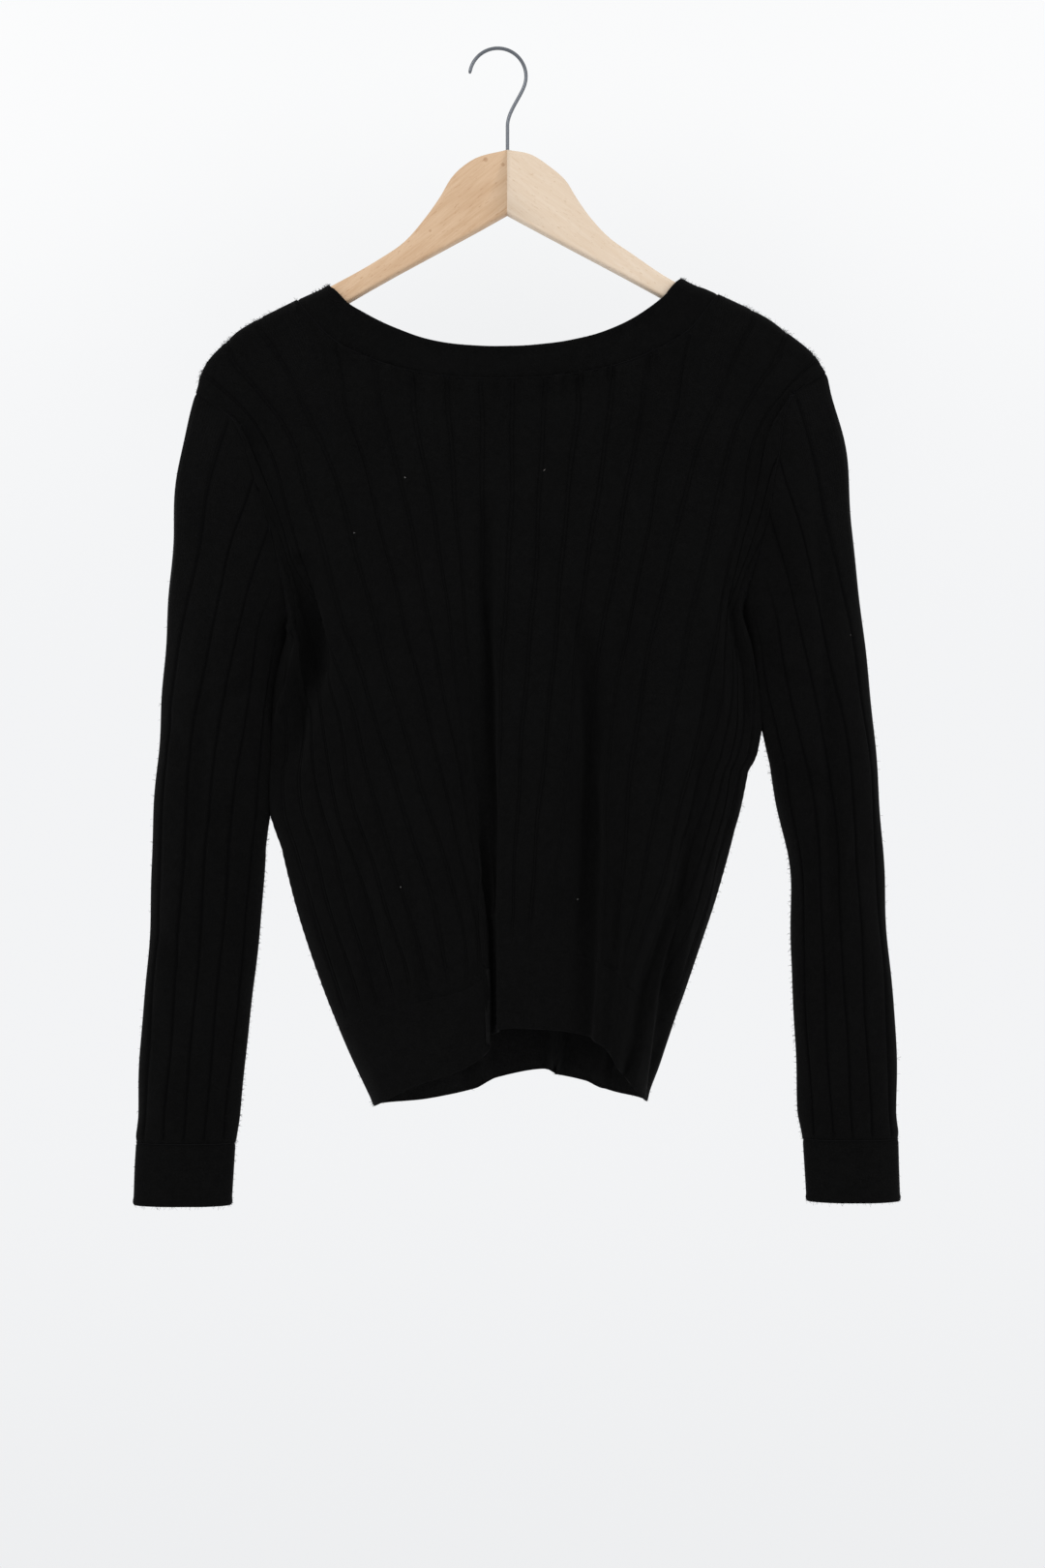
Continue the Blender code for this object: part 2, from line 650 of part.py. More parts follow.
def hem_frame(face):
    """Points, wall normals and downward directions along the seam of the hem band."""
    points, normals, across = {}, {}, {}
    for line in range(LAST_LINE + 1):
        height = hem_height(line, face) + HEM_BAND
        place = body_point(line, height, face)
        below = body_point(line, height - DIRECTION_STEP, face)
        before = max(line - 1, 0)
        after = min(line + 1, LAST_LINE)
        low = body_point(before, hem_height(before, face) + HEM_BAND, face)
        high = body_point(after, hem_height(after, face) + HEM_BAND, face)
        down = (below - place).normalized()
        if line in (0, LAST_LINE):
            down.y = 0.0
            down.normalize()
            normal = Vector((-down.z, 0.0, down.x))
            if normal.x * (line - CENTRE_LINE) < 0:
                normal.negate()
        else:
            tangent = (high - low).normalized()
            normal = tangent.cross(down).normalized()
            if normal.y * face < 0:
                normal.negate()
            down = normal.cross(tangent).normalized()
            if down.z > 0:
                down.negate()
        points[line] = place
        normals[line] = normal
        across[line] = down
    return points, normals, across


def ring(front, back):
    """One round of a tube: the front from left to right, then the back from right to left."""
    return list(front) + list(back)[-2:0:-1]


def make_hem_band(finish):
    lines = range(LAST_LINE + 1)
    rows, row_normals = [], []
    frames = {face: hem_frame(face) for face in (FRONT, BACK)}
    for share in BAND_STEPS:
        places, facing = {}, {}
        for face in (FRONT, BACK):
            points, normals, across = frames[face]
            if share == 0.0:
                places[face] = [points[n] + across[n] * SEAM_GAP / 2 for n in lines]
            else:
                places[face] = [
                    body_point(n, hem_height(n, face) + HEM_BAND * (1 - share), face) for n in lines
                ]
            facing[face] = [normals[n] for n in lines]
        rows.append(ring(places[FRONT], places[BACK]))
        row_normals.append(ring(facing[FRONT], facing[BACK]))
    columns = [[0.0]] * len(rows[0])
    return build_wall("hem_band", rows, row_normals, columns, True, finish, lambda r, k, s: BAND_RAISE)


def sleeve_ring_frame(rows, side):
    """The armhole seam as one round: front from the shoulder end down, then the back upwards."""
    front = armhole_frame(rows, side, FRONT)
    back = armhole_frame(rows, side, BACK)
    return [ring(f, b) for f, b in zip(front, back)]


def sleeve_point(table, armhole, line, face, share):
    outer = Vector((read(table, "share", "outer_x", share), 0.0, read(table, "share", "outer_height", share)))
    inner = Vector((read(table, "share", "inner_x", share), 0.0, read(table, "share", "inner_height", share)))
    across = SLEEVE_ACROSS[line]
    straight = outer.lerp(inner, across)
    top = Vector((table[0].outer_x, 0.0, table[0].outer_height))
    top = top.lerp(Vector((table[0].inner_x, 0.0, table[0].inner_height)), across)
    offset = armhole - top
    offset.y = 0.0
    place = straight + offset * (1.0 - ease(share / SEAM_SHAPE_FADES))
    bulge = math.sqrt(max(1.0 - abs(2 * across - 1) ** SLEEVE_ROUND, 0.0))
    round_depth = read(table, "share", "depth", share) * bulge
    settled = ease(share / SLEEVE_SETTLES)
    place.y = face * (abs(armhole.y) * (1 - settled) + round_depth * settled)
    return place


def make_sleeve(name, table, rows, side, finish):
    seam, seam_normals, seam_across = sleeve_ring_frame(rows, side)
    lines = [row.line if side < 0 else LAST_LINE - row.line for row in rows]
    keys = ring([(line, FRONT) for line in lines], [(line, BACK) for line in lines])
    grid = []
    for share in SLEEVE_STEPS:
        grid.append([
            sleeve_point(table, seam[k], line, face, share) for k, (line, face) in enumerate(keys)
        ])
    centres = [sum(points, Vector()) / len(points) for points in grid]

    def outside(r, k):
        return grid[r][k] - centres[r]

    normals = grid_normals(grid, True, outside)
    grid[0] = [place + across * SEAM_GAP / 2 for place, across in zip(seam, seam_across)]
    normals[0] = seam_normals
    for r in range(1, len(grid)):
        for k in (0, len(lines) - 1):
            normals[r][k].y = 0.0
            normals[r][k].normalize()
    for k in range(len(keys)):
        grid[-1][k] = grid[-1][k] + Vector((0.0, 0.0, SEAM_GAP / 2))
        normals[-1][k].z = 0.0
        normals[-1][k].normalize()

    top = 0
    count = len(keys)
    columns = []
    for k in range(count):
        if k == top:
            columns.append([0.0])
        elif k == count - 1:
            columns.append([0.0, 2 * RIB_EDGE])
        else:
            columns.append([0.0, RIB_EDGE, 1 - RIB_EDGE])
    columns[top] = [0.0, 1 - 2 * RIB_EDGE]

    def raised(r, k, share):
        if share == 0.0 and k != top:
            return 0.0
        pitch = (grid[r][k] - grid[r][(k + 1) % count]).length
        calm = 1.0
        near_side = min(lines[min(k, count - k)], lines[min(k + 1, count - k - 1)])
        if near_side < CALM_NEAR_SIDE:
            calm = ease(SLEEVE_STEPS[r] / SLEEVE_CALM)
        return RIB_RAISE * min(pitch / FULL_RIB, 1.0) ** 2 * calm

    made = build_wall(name, grid, normals, columns, True, finish, raised)
    return made, grid[-1], normals[-1]


def make_cuff(name, top, normals, side, finish):
    grid = []
    centre = sum(top, Vector()) / len(top)
    for share in BAND_STEPS:
        points = []
        for place in top:
            narrowed = (centre.x - place.x) * CUFF_TAPER * share
            drop = SEAM_GAP + CUFF_HEIGHT * share
            points.append(place + Vector((narrowed + side * CUFF_LEAN * share, 0.0, -drop)))
        grid.append(points)
    columns = [[0.0, 0.5]] * len(top)
    normals = [normals] * len(grid)
    return build_wall(name, grid, normals, columns, True, finish, lambda r, k, s: BAND_RAISE)


def collar_edge(line, face, seam):
    """The neckline's upper edge opposite a point of the neck seam."""
    side = max(min((seam.x - NECK_MIDDLE) / NECK_HALF, 1.0), -1.0)
    x = NECK_MIDDLE + COLLAR_HALF * side
    drop = COLLAR_DROP * math.sqrt(max(1.0 - side * side, 0.0))
    turn = math.pi / 2
    inward = min(abs(line - NECK_CORNER), abs(LAST_LINE - NECK_CORNER - line))
    if inward <= NECK_TURN:
        turn = inward / NECK_TURN * math.pi / 2
        drop = WRAP * (1.0 - math.cos(turn))
        x = NECK_MIDDLE + COLLAR_HALF * (-1.0 if line < CENTRE_LINE else 1.0)
    depth = abs(seam.y)
    if turn == math.pi / 2:
        depth -= COLLAR_LEAN * (depth - WRAP)
    return Vector((x, face * depth, COLLAR_TOP - drop))


def make_neckband(finish):
    seam, upper, facing = {}, {}, {}
    for face in (FRONT, BACK):
        points, normals, across = neck_frame(face)
        lines = neck_lines()
        seam[face] = [place + side * SEAM_GAP / 2 for place, side in zip(points, across)]
        upper[face] = [collar_edge(line, face, place) for line, place in zip(lines, points)]
        facing[face] = normals
    low = ring(seam[FRONT], seam[BACK])
    high = ring(upper[FRONT], upper[BACK])
    normals = ring(facing[FRONT], facing[BACK])
    grid = []
    for share in NECKBAND_STEPS:
        grid.append([a.lerp(b, share) for a, b in zip(low, high)])
    columns = [[0.0]] * len(low)

    def raised(r, k, share):
        return BAND_RAISE if r < BEAD_STEP else BEAD_RAISE

    return build_wall("neckband", grid, [normals] * len(grid), columns, True, finish, raised)


# ---------------------------------------------------------------- the hanger
def arm_outline(side, top_points, shoulder):
    """Outline of one half of the hanger, from the joint out along the top and back below."""
    tilt = SHOULDER_TILT
    lift = WALL + REST_GAP
    outline = [(JOINT_X + side * SEAM_GAP / 2, JOINT_TOP)]
    outline += top_points
    under = []
    for row in shoulder[::-1]:
        if row.line in (ARM_CORNER, LAST_LINE - ARM_CORNER):
            continue
        under.append((row.x - side * lift * math.sin(tilt), row.height - lift / math.cos(tilt)))
    tip = (under[-1][0] - side * TIP_TOP.inward, under[-1][1] - TIP_TOP.down)
    under[-1] = tip
    outline += under
    for corner in (TIP_END, TIP_FOOT):
        outline.append((tip[0] - side * corner.inward, tip[1] - corner.down))
    neck = under[0]
    outline.append((neck[0], neck[1] - ARM_HEIGHT))
    outline.append((JOINT_X + side * SEAM_GAP / 2, JOINT_FOOT))
    return outline


def make_arm(name, side, top_points, shoulder, finish):
    made = bmesh.new()
    outline = arm_outline(side, top_points, shoulder)
    corners = [made.verts.new((x, -HANGER_HALF, z)) for x, z in outline]
    face = made.faces.new(corners)
    pushed = bmesh.ops.extrude_face_region(made, geom=[face])
    moved = [item for item in pushed["geom"] if isinstance(item, bmesh.types.BMVert)]
    bmesh.ops.translate(made, verts=moved, vec=(0.0, 2 * HANGER_HALF, 0.0))
    bmesh.ops.recalc_face_normals(made, faces=made.faces)
    mesh = bpy.data.meshes.new(name)
    made.to_mesh(mesh)
    made.free()
    arm = add_object(name, mesh, finish)
    rounding = arm.modifiers.new("edge_round", "BEVEL")
    rounding.width = EDGE_ROUND
    rounding.segments = EDGE_STEPS
    rounding.limit_method = "ANGLE"
    rounding.angle_limit = EDGE_ANGLE
    return arm


def make_hook(finish):
    middle = Vector((0.0, 0.0, WIRE - CROOK))
    route = []
    for step in range(CROOK_STEPS + 1):
        angle = CROOK_TIP + (CROOK_HEEL - CROOK_TIP) * step / CROOK_STEPS
        route.append(middle + Vector((math.cos(angle), 0.0, math.sin(angle))) * CROOK)
    heel = route[-1]
    foot = Vector((SHANK_X, 0.0, SHANK_TOP))
    heel_pull = Vector((math.sin(CROOK_HEEL), 0.0, -math.cos(CROOK_HEEL))) * HEEL_PULL
    foot_pull = Vector((0.0, 0.0, FOOT_PULL))
    for step in range(1, SWEEP_STEPS + 1):
        part = step / SWEEP_STEPS
        rest = 1.0 - part
        blend = heel * (1 + 2 * part) * rest ** 2 + foot * (3 - 2 * part) * part ** 2
        route.append(blend + heel_pull * part * rest ** 2 - foot_pull * part ** 2 * rest)
    route.append(Vector((SHANK_X, 0.0, SHANK_FOOT)))
    curve = bpy.data.curves.new("hanger_hook", "CURVE")
    curve.dimensions = "3D"
    curve.bevel_depth = WIRE
    curve.bevel_resolution = WIRE_FACETS
    curve.use_fill_caps = True
    spline = curve.splines.new("POLY")
    spline.points.add(len(route) - 1)
    for point, place in zip(spline.points, route):
        point.co = (*place, 1.0)
    return add_object("hanger_hook", curve, finish)


# ---------------------------------------------------------------- build
for leftover in list(bpy.data.objects):
    bpy.data.objects.remove(leftover)
parts = bpy.data.collections.new("sweater_on_hanger")
bpy.context.scene.collection.children.link(parts)

knit = material("black_knit", CLOTH_BLACK, CLOTH_DULL)
warm = material("warm_wood", WOOD_WARM, WOOD_DULL)
pale = material("pale_wood", WOOD_PALE, WOOD_DULL)
steel = material("steel_wire", STEEL, STEEL_DULL, 1.0)

make_panel("front_panel", FRONT, knit)
make_panel("back_panel", BACK, knit)
make_hem_band(knit)
make_neckband(knit)
for label, table, armhole, hand in (
    ("left", SLEEVE_LEFT, ARMHOLE_LEFT, -1.0),
    ("right", SLEEVE_RIGHT, ARMHOLE_RIGHT, 1.0),
):
    sleeve, end_ring, end_normals = make_sleeve("sleeve_" + label, table, armhole, hand, knit)
    make_cuff("cuff_" + label, end_ring, end_normals, hand, knit)
make_arm("hanger_left", -1.0, LEFT_TOP, SHOULDER_LEFT, warm)
make_arm("hanger_right", 1.0, RIGHT_TOP, SHOULDER_RIGHT, pale)
make_hook(steel)
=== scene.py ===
"""The looks of a wide-ribbed black sweater that hangs on a wooden hanger with a wire hook.

Metres, +Z up, the front faces -Y, and the origin is the inner top of the hook's crook.  Left and
right are as seen from the front.

The cloth is measured along "lines": line 0 is the left side seam, line 28 the right one, and a
whole line is the channel between two ribs.  Every knitted piece is a grid of points, with its
columns along the lines and its rows down the cloth, moved onto the garment's surface.
"""
import math
import random
from collections import namedtuple

import bmesh
import bpy
import numpy as np
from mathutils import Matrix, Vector


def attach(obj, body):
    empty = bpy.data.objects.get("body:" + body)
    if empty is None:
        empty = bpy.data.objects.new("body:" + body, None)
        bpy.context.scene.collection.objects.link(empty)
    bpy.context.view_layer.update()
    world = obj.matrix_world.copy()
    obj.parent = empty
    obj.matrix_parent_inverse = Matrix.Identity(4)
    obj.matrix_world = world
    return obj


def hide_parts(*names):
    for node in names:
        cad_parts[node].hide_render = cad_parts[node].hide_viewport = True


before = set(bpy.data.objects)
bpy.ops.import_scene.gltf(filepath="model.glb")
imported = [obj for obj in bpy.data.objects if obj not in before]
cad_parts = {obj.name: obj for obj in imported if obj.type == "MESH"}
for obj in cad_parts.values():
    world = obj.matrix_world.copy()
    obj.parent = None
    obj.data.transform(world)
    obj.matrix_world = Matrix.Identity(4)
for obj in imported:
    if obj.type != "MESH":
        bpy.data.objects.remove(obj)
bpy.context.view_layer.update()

# ---------------------------------------------------------------- driving sizes
NEAR = 1e-6
TINY_SLOPE = 1e-9
TINY_LENGTH = 1e-12

# The knit: its thickness, how far ribs and bands stand out, and the width at which a rib has its
# full height.  A rib is RIB_CUT wide before it hangs.
CLOTH = 0.0013
RIB_RAISE = 0.0009
BAND_RAISE = 0.0004
FULL_RIB = 0.012
RIB_CUT = 0.0210
SEAM_GAP = 0.0003
SEAM_DIP = 0.0006
SEAM_REACH = 0.0030

# Lines at which the panels' edges change, counted from the nearer side seam.  The cloth turns over
# the hanger within ARM_TURN lines of the arm corner and NECK_TURN lines of the neck corner.
LAST_LINE = 28
CENTRE_LINE = 14
ARM_CORNER = 5.5
ARM_TURN = 0.5
NECK_CORNER = 8.5
NECK_TURN = 0.25
FIRST_NECK_LINE = 9
FRONT = -1.0
BACK = 1.0

# The hanger's arms, and the cloth over them.
HANGER_HALF = 0.0060
REST_GAP = 0.0006
WALL = 0.0014
WRAP = 0.0090
LINES_TO_FULL_WRAP = 2.0
SHOULDER_TILT = math.radians(29.0)

# The neck seam, and the neckband's upper edge.
NECK_MIDDLE = 0.0069
NECK_HALF = 0.1500
NECK_DROP = 0.0590
NECK_SQUARENESS = 2.4
NECK_BOWL = 0.7
NECK_FRONT = 0.0130
NECK_SLANT = 0.005
NECK_CENTRE_X = 0.0107
RIB_PITCH_AT_NECK = 0.0228
RIB_FAN_AT_NECK = 0.0001
COLLAR_HALF = 0.1235
COLLAR_CORNERS = ((-0.1201, -0.1682), (0.1304, -0.1632))
COLLAR_SLANT = 0.0115
COLLAR_FALL = (0.0022, 0.0036)
COLLAR_LEAN = 0.2

# How round the body and the sleeves are, how far below its top edge the cloth hangs free, and the
# shares of a sleeve within which it loses the armhole's shape.
BODY_ROUND = 3
SLEEVE_ROUND = 2.4
DRAPE_REACH = 0.070
TOP_SETTLES = 0.020
SEAM_SHAPE_FADES = 0.45
SLEEVE_SETTLES = 0.25

# Outline and depth of the body, from the shoulder ends down to the hem.
BodyRow = namedtuple("BodyRow", "height left_edge left_line right_line right_edge front back")
LEFT_LINE = 6
RIGHT_LINE = 22
BODY = (
    BodyRow(-0.224, -0.2450, -0.2087, 0.2191, 0.2400, 0.009, 0.009),
    BodyRow(-0.265, -0.2305, -0.1735, 0.1887, 0.2260, 0.013, 0.012),
    BodyRow(-0.330, -0.1800, -0.1487, 0.1715, 0.2095, 0.017, 0.016),
    BodyRow(-0.397, -0.1540, -0.1287, 0.1572, 0.1755, 0.022, 0.020),
    BodyRow(-0.464, -0.1555, -0.1038, 0.1473, 0.1790, 0.027, 0.021),
    BodyRow(-0.530, -0.1595, -0.0880, 0.1301, 0.1735, 0.032, 0.024),
    BodyRow(-0.596, -0.1473, -0.0666, 0.1121, 0.1577, 0.038, 0.028),
    BodyRow(-0.662, -0.1266, -0.0486, 0.0921, 0.1356, 0.043, 0.032),
    BodyRow(-0.709, -0.1080, -0.0411, 0.0852, 0.1197, 0.045, 0.034),
    BodyRow(-0.752, -0.0880, -0.0348, 0.0762, 0.1052, 0.045, 0.035),
)

# How far down a line, counted from the nearer side seam, its top end still draws it aside.
PullRow = namedtuple("PullRow", "from_side length")
TOP_PULL = (
    PullRow(0.0, 0.018),
    PullRow(4.0, 0.018),
    PullRow(5.0, 0.009),
    PullRow(5.5, 0.026),
    PullRow(8.5, 0.130),
)

# Height of the hem's lower edge along the lines.
HEM_BAND = 0.054
HemRow = namedtuple("HemRow", "line front back")
HEM = (
    HemRow(0, -0.752, -0.752),
    HemRow(4, -0.734, -0.751),
    HemRow(8, -0.720, -0.744),
    HemRow(10, -0.709, -0.738),
    HemRow(14, -0.694, -0.730),
    HemRow(18, -0.697, -0.735),
    HemRow(22, -0.720, -0.744),
    HemRow(28, -0.749, -0.749),
)

# The largest folds.  Each is a valley along a line; "hidden" is the share of the ribs that it
# swallows, and it grows from "start" to "full" and dies away from "fade" to "end".
Fold = namedtuple("Fold", "line half depth hidden start full fade end")
NEVER = -2.0
FRONT_FOLDS = (
    Fold(12.5, 1.7, 0.0075, 0.90, -0.335, -0.590, NEVER, NEVER - 1),
    Fold(18, 1.8, 0.009, 0.50, -0.378, -0.500, NEVER, NEVER - 1),
    Fold(20, 1.2, 0.004, 0.25, -0.516, -0.606, NEVER, NEVER - 1),
    Fold(23.5, 1.6, 0.008, 0.40, -0.544, -0.606, NEVER, NEVER - 1),
    Fold(4.2, 2.0, 0.007, 0.30, -0.350, -0.405, -0.430, -0.500),
    Fold(24.5, 2.6, 0.003, 0.20, -0.380, -0.430, -0.450, -0.520),
)
BACK_FOLDS = (
    Fold(16, 2.2, 0.016, 0.70, -0.360, -0.600, NEVER, NEVER - 1),
    Fold(9, 1.7, 0.008, 0.40, -0.420, -0.560, NEVER, NEVER - 1),
    Fold(21.0, 1.5, 0.007, 0.40, -0.470, -0.610, NEVER, NEVER - 1),
    Fold(4.0, 1.8, 0.006, 0.30, -0.350, -0.405, -0.440, -0.520),
)

# The armhole seams, from the shoulder end down to the armpit.
SeamRow = namedtuple("SeamRow", "line x height depth")
ARMHOLE_LEFT = (
    SeamRow(5.5, -0.2149, -0.2443, 0.0000),
    SeamRow(5, -0.1900, -0.2625, 0.0105),
    SeamRow(4, -0.1722, -0.3029, 0.0125),
    SeamRow(3, -0.1611, -0.3388, 0.0135),
    SeamRow(2, -0.1542, -0.3705, 0.0130),
    SeamRow(1, -0.1501, -0.3975, 0.0090),
    SeamRow(0, -0.1494, -0.4161, 0.0000),
)
ARMHOLE_RIGHT = (
    SeamRow(22.5, 0.2336, -0.2298, 0.0000),
    SeamRow(23, 0.2110, -0.2460, 0.0105),
    SeamRow(24, 0.1991, -0.2905, 0.0125),
    SeamRow(25, 0.1915, -0.3278, 0.0135),
    SeamRow(26, 0.1839, -0.3602, 0.0130),
    SeamRow(27, 0.1768, -0.3863, 0.0090),
    SeamRow(28, 0.1738, -0.4035, 0.0000),
)

# The shoulder lines, over the hanger's arms.
SHOULDER_LEFT = (
    SeamRow(5.5, -0.2149, -0.2443, 0.0),
    SeamRow(6, -0.2111, -0.2305, 0.0),
    SeamRow(7, -0.1922, -0.2077, 0.0),
    SeamRow(8, -0.1694, -0.1918, 0.0),
    SeamRow(8.5, -0.1432, -0.1787, 0.0),
)
SHOULDER_RIGHT = (
    SeamRow(22.5, 0.2336, -0.2298, 0.0),
    SeamRow(22, 0.2256, -0.2187, 0.0),
    SeamRow(21, 0.2039, -0.2008, 0.0),
    SeamRow(20, 0.1818, -0.1863, 0.0),
    SeamRow(19.5, 0.1570, -0.1746, 0.0),
)

# The sleeves' outer and inner outlines and half depth, at equal heights along each edge.
SleeveRow = namedtuple("SleeveRow", "share outer_x outer_height inner_x inner_height depth")
SLEEVE_LEFT = (
    SleeveRow(0.00, -0.2149, -0.2443, -0.1494, -0.4161, 0.0135),
    SleeveRow(0.10, -0.2275, -0.2977, -0.1620, -0.4523, 0.0150),
    SleeveRow(0.20, -0.2308, -0.3511, -0.1655, -0.4885, 0.0175),
    SleeveRow(0.35, -0.2364, -0.4312, -0.1661, -0.5429, 0.0185),
    SleeveRow(0.50, -0.2425, -0.5113, -0.1677, -0.5972, 0.0180),
    SleeveRow(0.65, -0.2460, -0.5914, -0.1727, -0.6515, 0.0165),
    SleeveRow(0.80, -0.2508, -0.6715, -0.1793, -0.7059, 0.0150),
    SleeveRow(1.00, -0.2577, -0.7783, -0.1873, -0.7783, 0.0130),
)
SLEEVE_RIGHT = (
    SleeveRow(0.00, 0.2336, -0.2298, 0.1738, -0.4035, 0.0135),
    SleeveRow(0.10, 0.2462, -0.2844, 0.1845, -0.4400, 0.0150),
    SleeveRow(0.20, 0.2524, -0.3390, 0.1900, -0.4770, 0.0175),
    SleeveRow(0.35, 0.2600, -0.4208, 0.1992, -0.5330, 0.0185),
    SleeveRow(0.50, 0.2690, -0.5027, 0.2088, -0.5890, 0.0180),
    SleeveRow(0.65, 0.2745, -0.5846, 0.2101, -0.6449, 0.0165),
    SleeveRow(0.80, 0.2800, -0.6664, 0.2119, -0.7009, 0.0150),
    SleeveRow(1.00, 0.2853, -0.7756, 0.2177, -0.7756, 0.0130),
)
# Where each sleeve line lies between the outer edge (0) and the inner edge (1).
AcrossRow = namedtuple("AcrossRow", "line across")
SLEEVE_ACROSS = (
    AcrossRow(0, 1.0),
    AcrossRow(1, 0.89),
    AcrossRow(2, 0.70),
    AcrossRow(3, 0.50),
    AcrossRow(4, 0.30),
    AcrossRow(5, 0.09),
    AcrossRow(5.5, 0.0),
)
CUFF_HEIGHT = 0.044
CUFF_LEAN = 0.0021
CUFF_TAPER = 0.02
CUFF_WAIST = 0.04

# The neckline's upper edge, from the left corner to the right one.
CollarRow = namedtuple("CollarRow", "x height")
COLLAR = (
    CollarRow(-0.1059, -0.1813),
    CollarRow(-0.0956, -0.1882),
    CollarRow(-0.0853, -0.1938),
    CollarRow(-0.0647, -0.2028),
    CollarRow(-0.0441, -0.2090),
    CollarRow(-0.0235, -0.2118),
    CollarRow(-0.0030, -0.2129),
    CollarRow(0.0176, -0.2124),
    CollarRow(0.0382, -0.2104),
    CollarRow(0.0587, -0.2070),
    CollarRow(0.0793, -0.2007),
    CollarRow(0.0999, -0.1903),
    CollarRow(0.1102, -0.1834),
    CollarRow(0.1189, -0.1758),
)

# How high a rib's face stands over its channels, by the distance from the channel in ribs.  Each
# channel is a pair of narrow grooves with a low ridge of one stitch column between them.
RibRow = namedtuple("RibRow", "away height")
RIB_PROFILE = (
    RibRow(0.000, 0.62),
    RibRow(0.032, 0.50),
    RibRow(0.062, 0.00),
    RibRow(0.100, 0.74),
    RibRow(0.170, 0.95),
    RibRow(0.320, 1.00),
    RibRow(0.500, 1.02),
)
RIB_MARKS = (0.0, 0.032, 0.062, 0.10, 0.17, 0.30, 0.42, 0.58, 0.70, 0.83, 0.90, 0.938, 0.968)
WIDEST_RIB = 0.0225
SLEEVE_CHANNEL = 0.13

# How dark the painted shade makes the channels, and the seams of the bands.
PANEL_PAINTED_SHADE = 0.45
SLEEVE_PAINTED_SHADE = 1.10
BAND_SEAM_PAINTED_SHADE = 0.25
BAND_SEAM_PAINTED_SHADE_REACH = 0.002

# Where the front's ribs run, as places in X of some lines at each height.
FlowRow = namedtuple("FlowRow", "height at_8 at_10 at_13 at_16 at_18 at_20")
FLOW_LINES = (8, 10, 13, 16, 18, 20)
FRONT_FLOW = (
    FlowRow(-0.2574, -0.1266, -0.0790, -0.0114, 0.0549, 0.0983, 0.1459),
    FlowRow(-0.3367, -0.1059, -0.0624, -0.0107, 0.0486, 0.0873, 0.1287),
    FlowRow(-0.4561, -0.0742, -0.0376, -0.0107, 0.0369, 0.0687, 0.1011),
    FlowRow(-0.5300, -0.0514, -0.0238, -0.0100, 0.0307, 0.0631, 0.0921),
    FlowRow(-0.5886, -0.0335, -0.0128, -0.0083, 0.0252, 0.0604, 0.0887),
    FlowRow(-0.6217, -0.0248, -0.0086, -0.0062, 0.0224, 0.0575, 0.0845),
    FlowRow(-0.6548, -0.0212, -0.0072, -0.0040, 0.0197, 0.0545, 0.0800),
    FlowRow(-0.7100, -0.0205, -0.0064, -0.0016, 0.0183, 0.0508, 0.0744),
)

# How far the cloth of the body's sides and of the sleeves' inner edges lies over beside each
# other below the armpits.
FillRow = namedtuple("FillRow", "height body_left body_right sleeve_left sleeve_right")
SIDE_FILL = (
    FillRow(-0.4000, 0.0, 0.0, 0.0, 0.0),
    FillRow(-0.4100, 0.0, 0.0034, 0.0, 0.0),
    FillRow(-0.4200, -0.0006, 0.0064, 0.0006, -0.0010),
    FillRow(-0.4300, -0.0022, 0.0074, 0.0018, -0.0022),
    FillRow(-0.4402, -0.0036, 0.0080, 0.0034, -0.0026),
    FillRow(-0.4610, -0.0050, 0.0086, 0.0047, -0.0026),
    FillRow(-0.4816, -0.0044, 0.0098, 0.0046, -0.0016),
    FillRow(-0.5023, -0.0032, 0.0074, 0.0040, -0.0006),
    FillRow(-0.5085, -0.0031, 0.0052, 0.0038, 0.0),
    FillRow(-0.5120, -0.0032, 0.0026, 0.0036, 0.0),
    FillRow(-0.5200, -0.0036, 0.0020, 0.0034, 0.0),
    FillRow(-0.5437, -0.0042, 0.0010, 0.0030, 0.0),
    FillRow(-0.5560, -0.0022, 0.0, 0.0014, 0.0),
    FillRow(-0.5680, 0.0, 0.0, 0.0, 0.0),
)

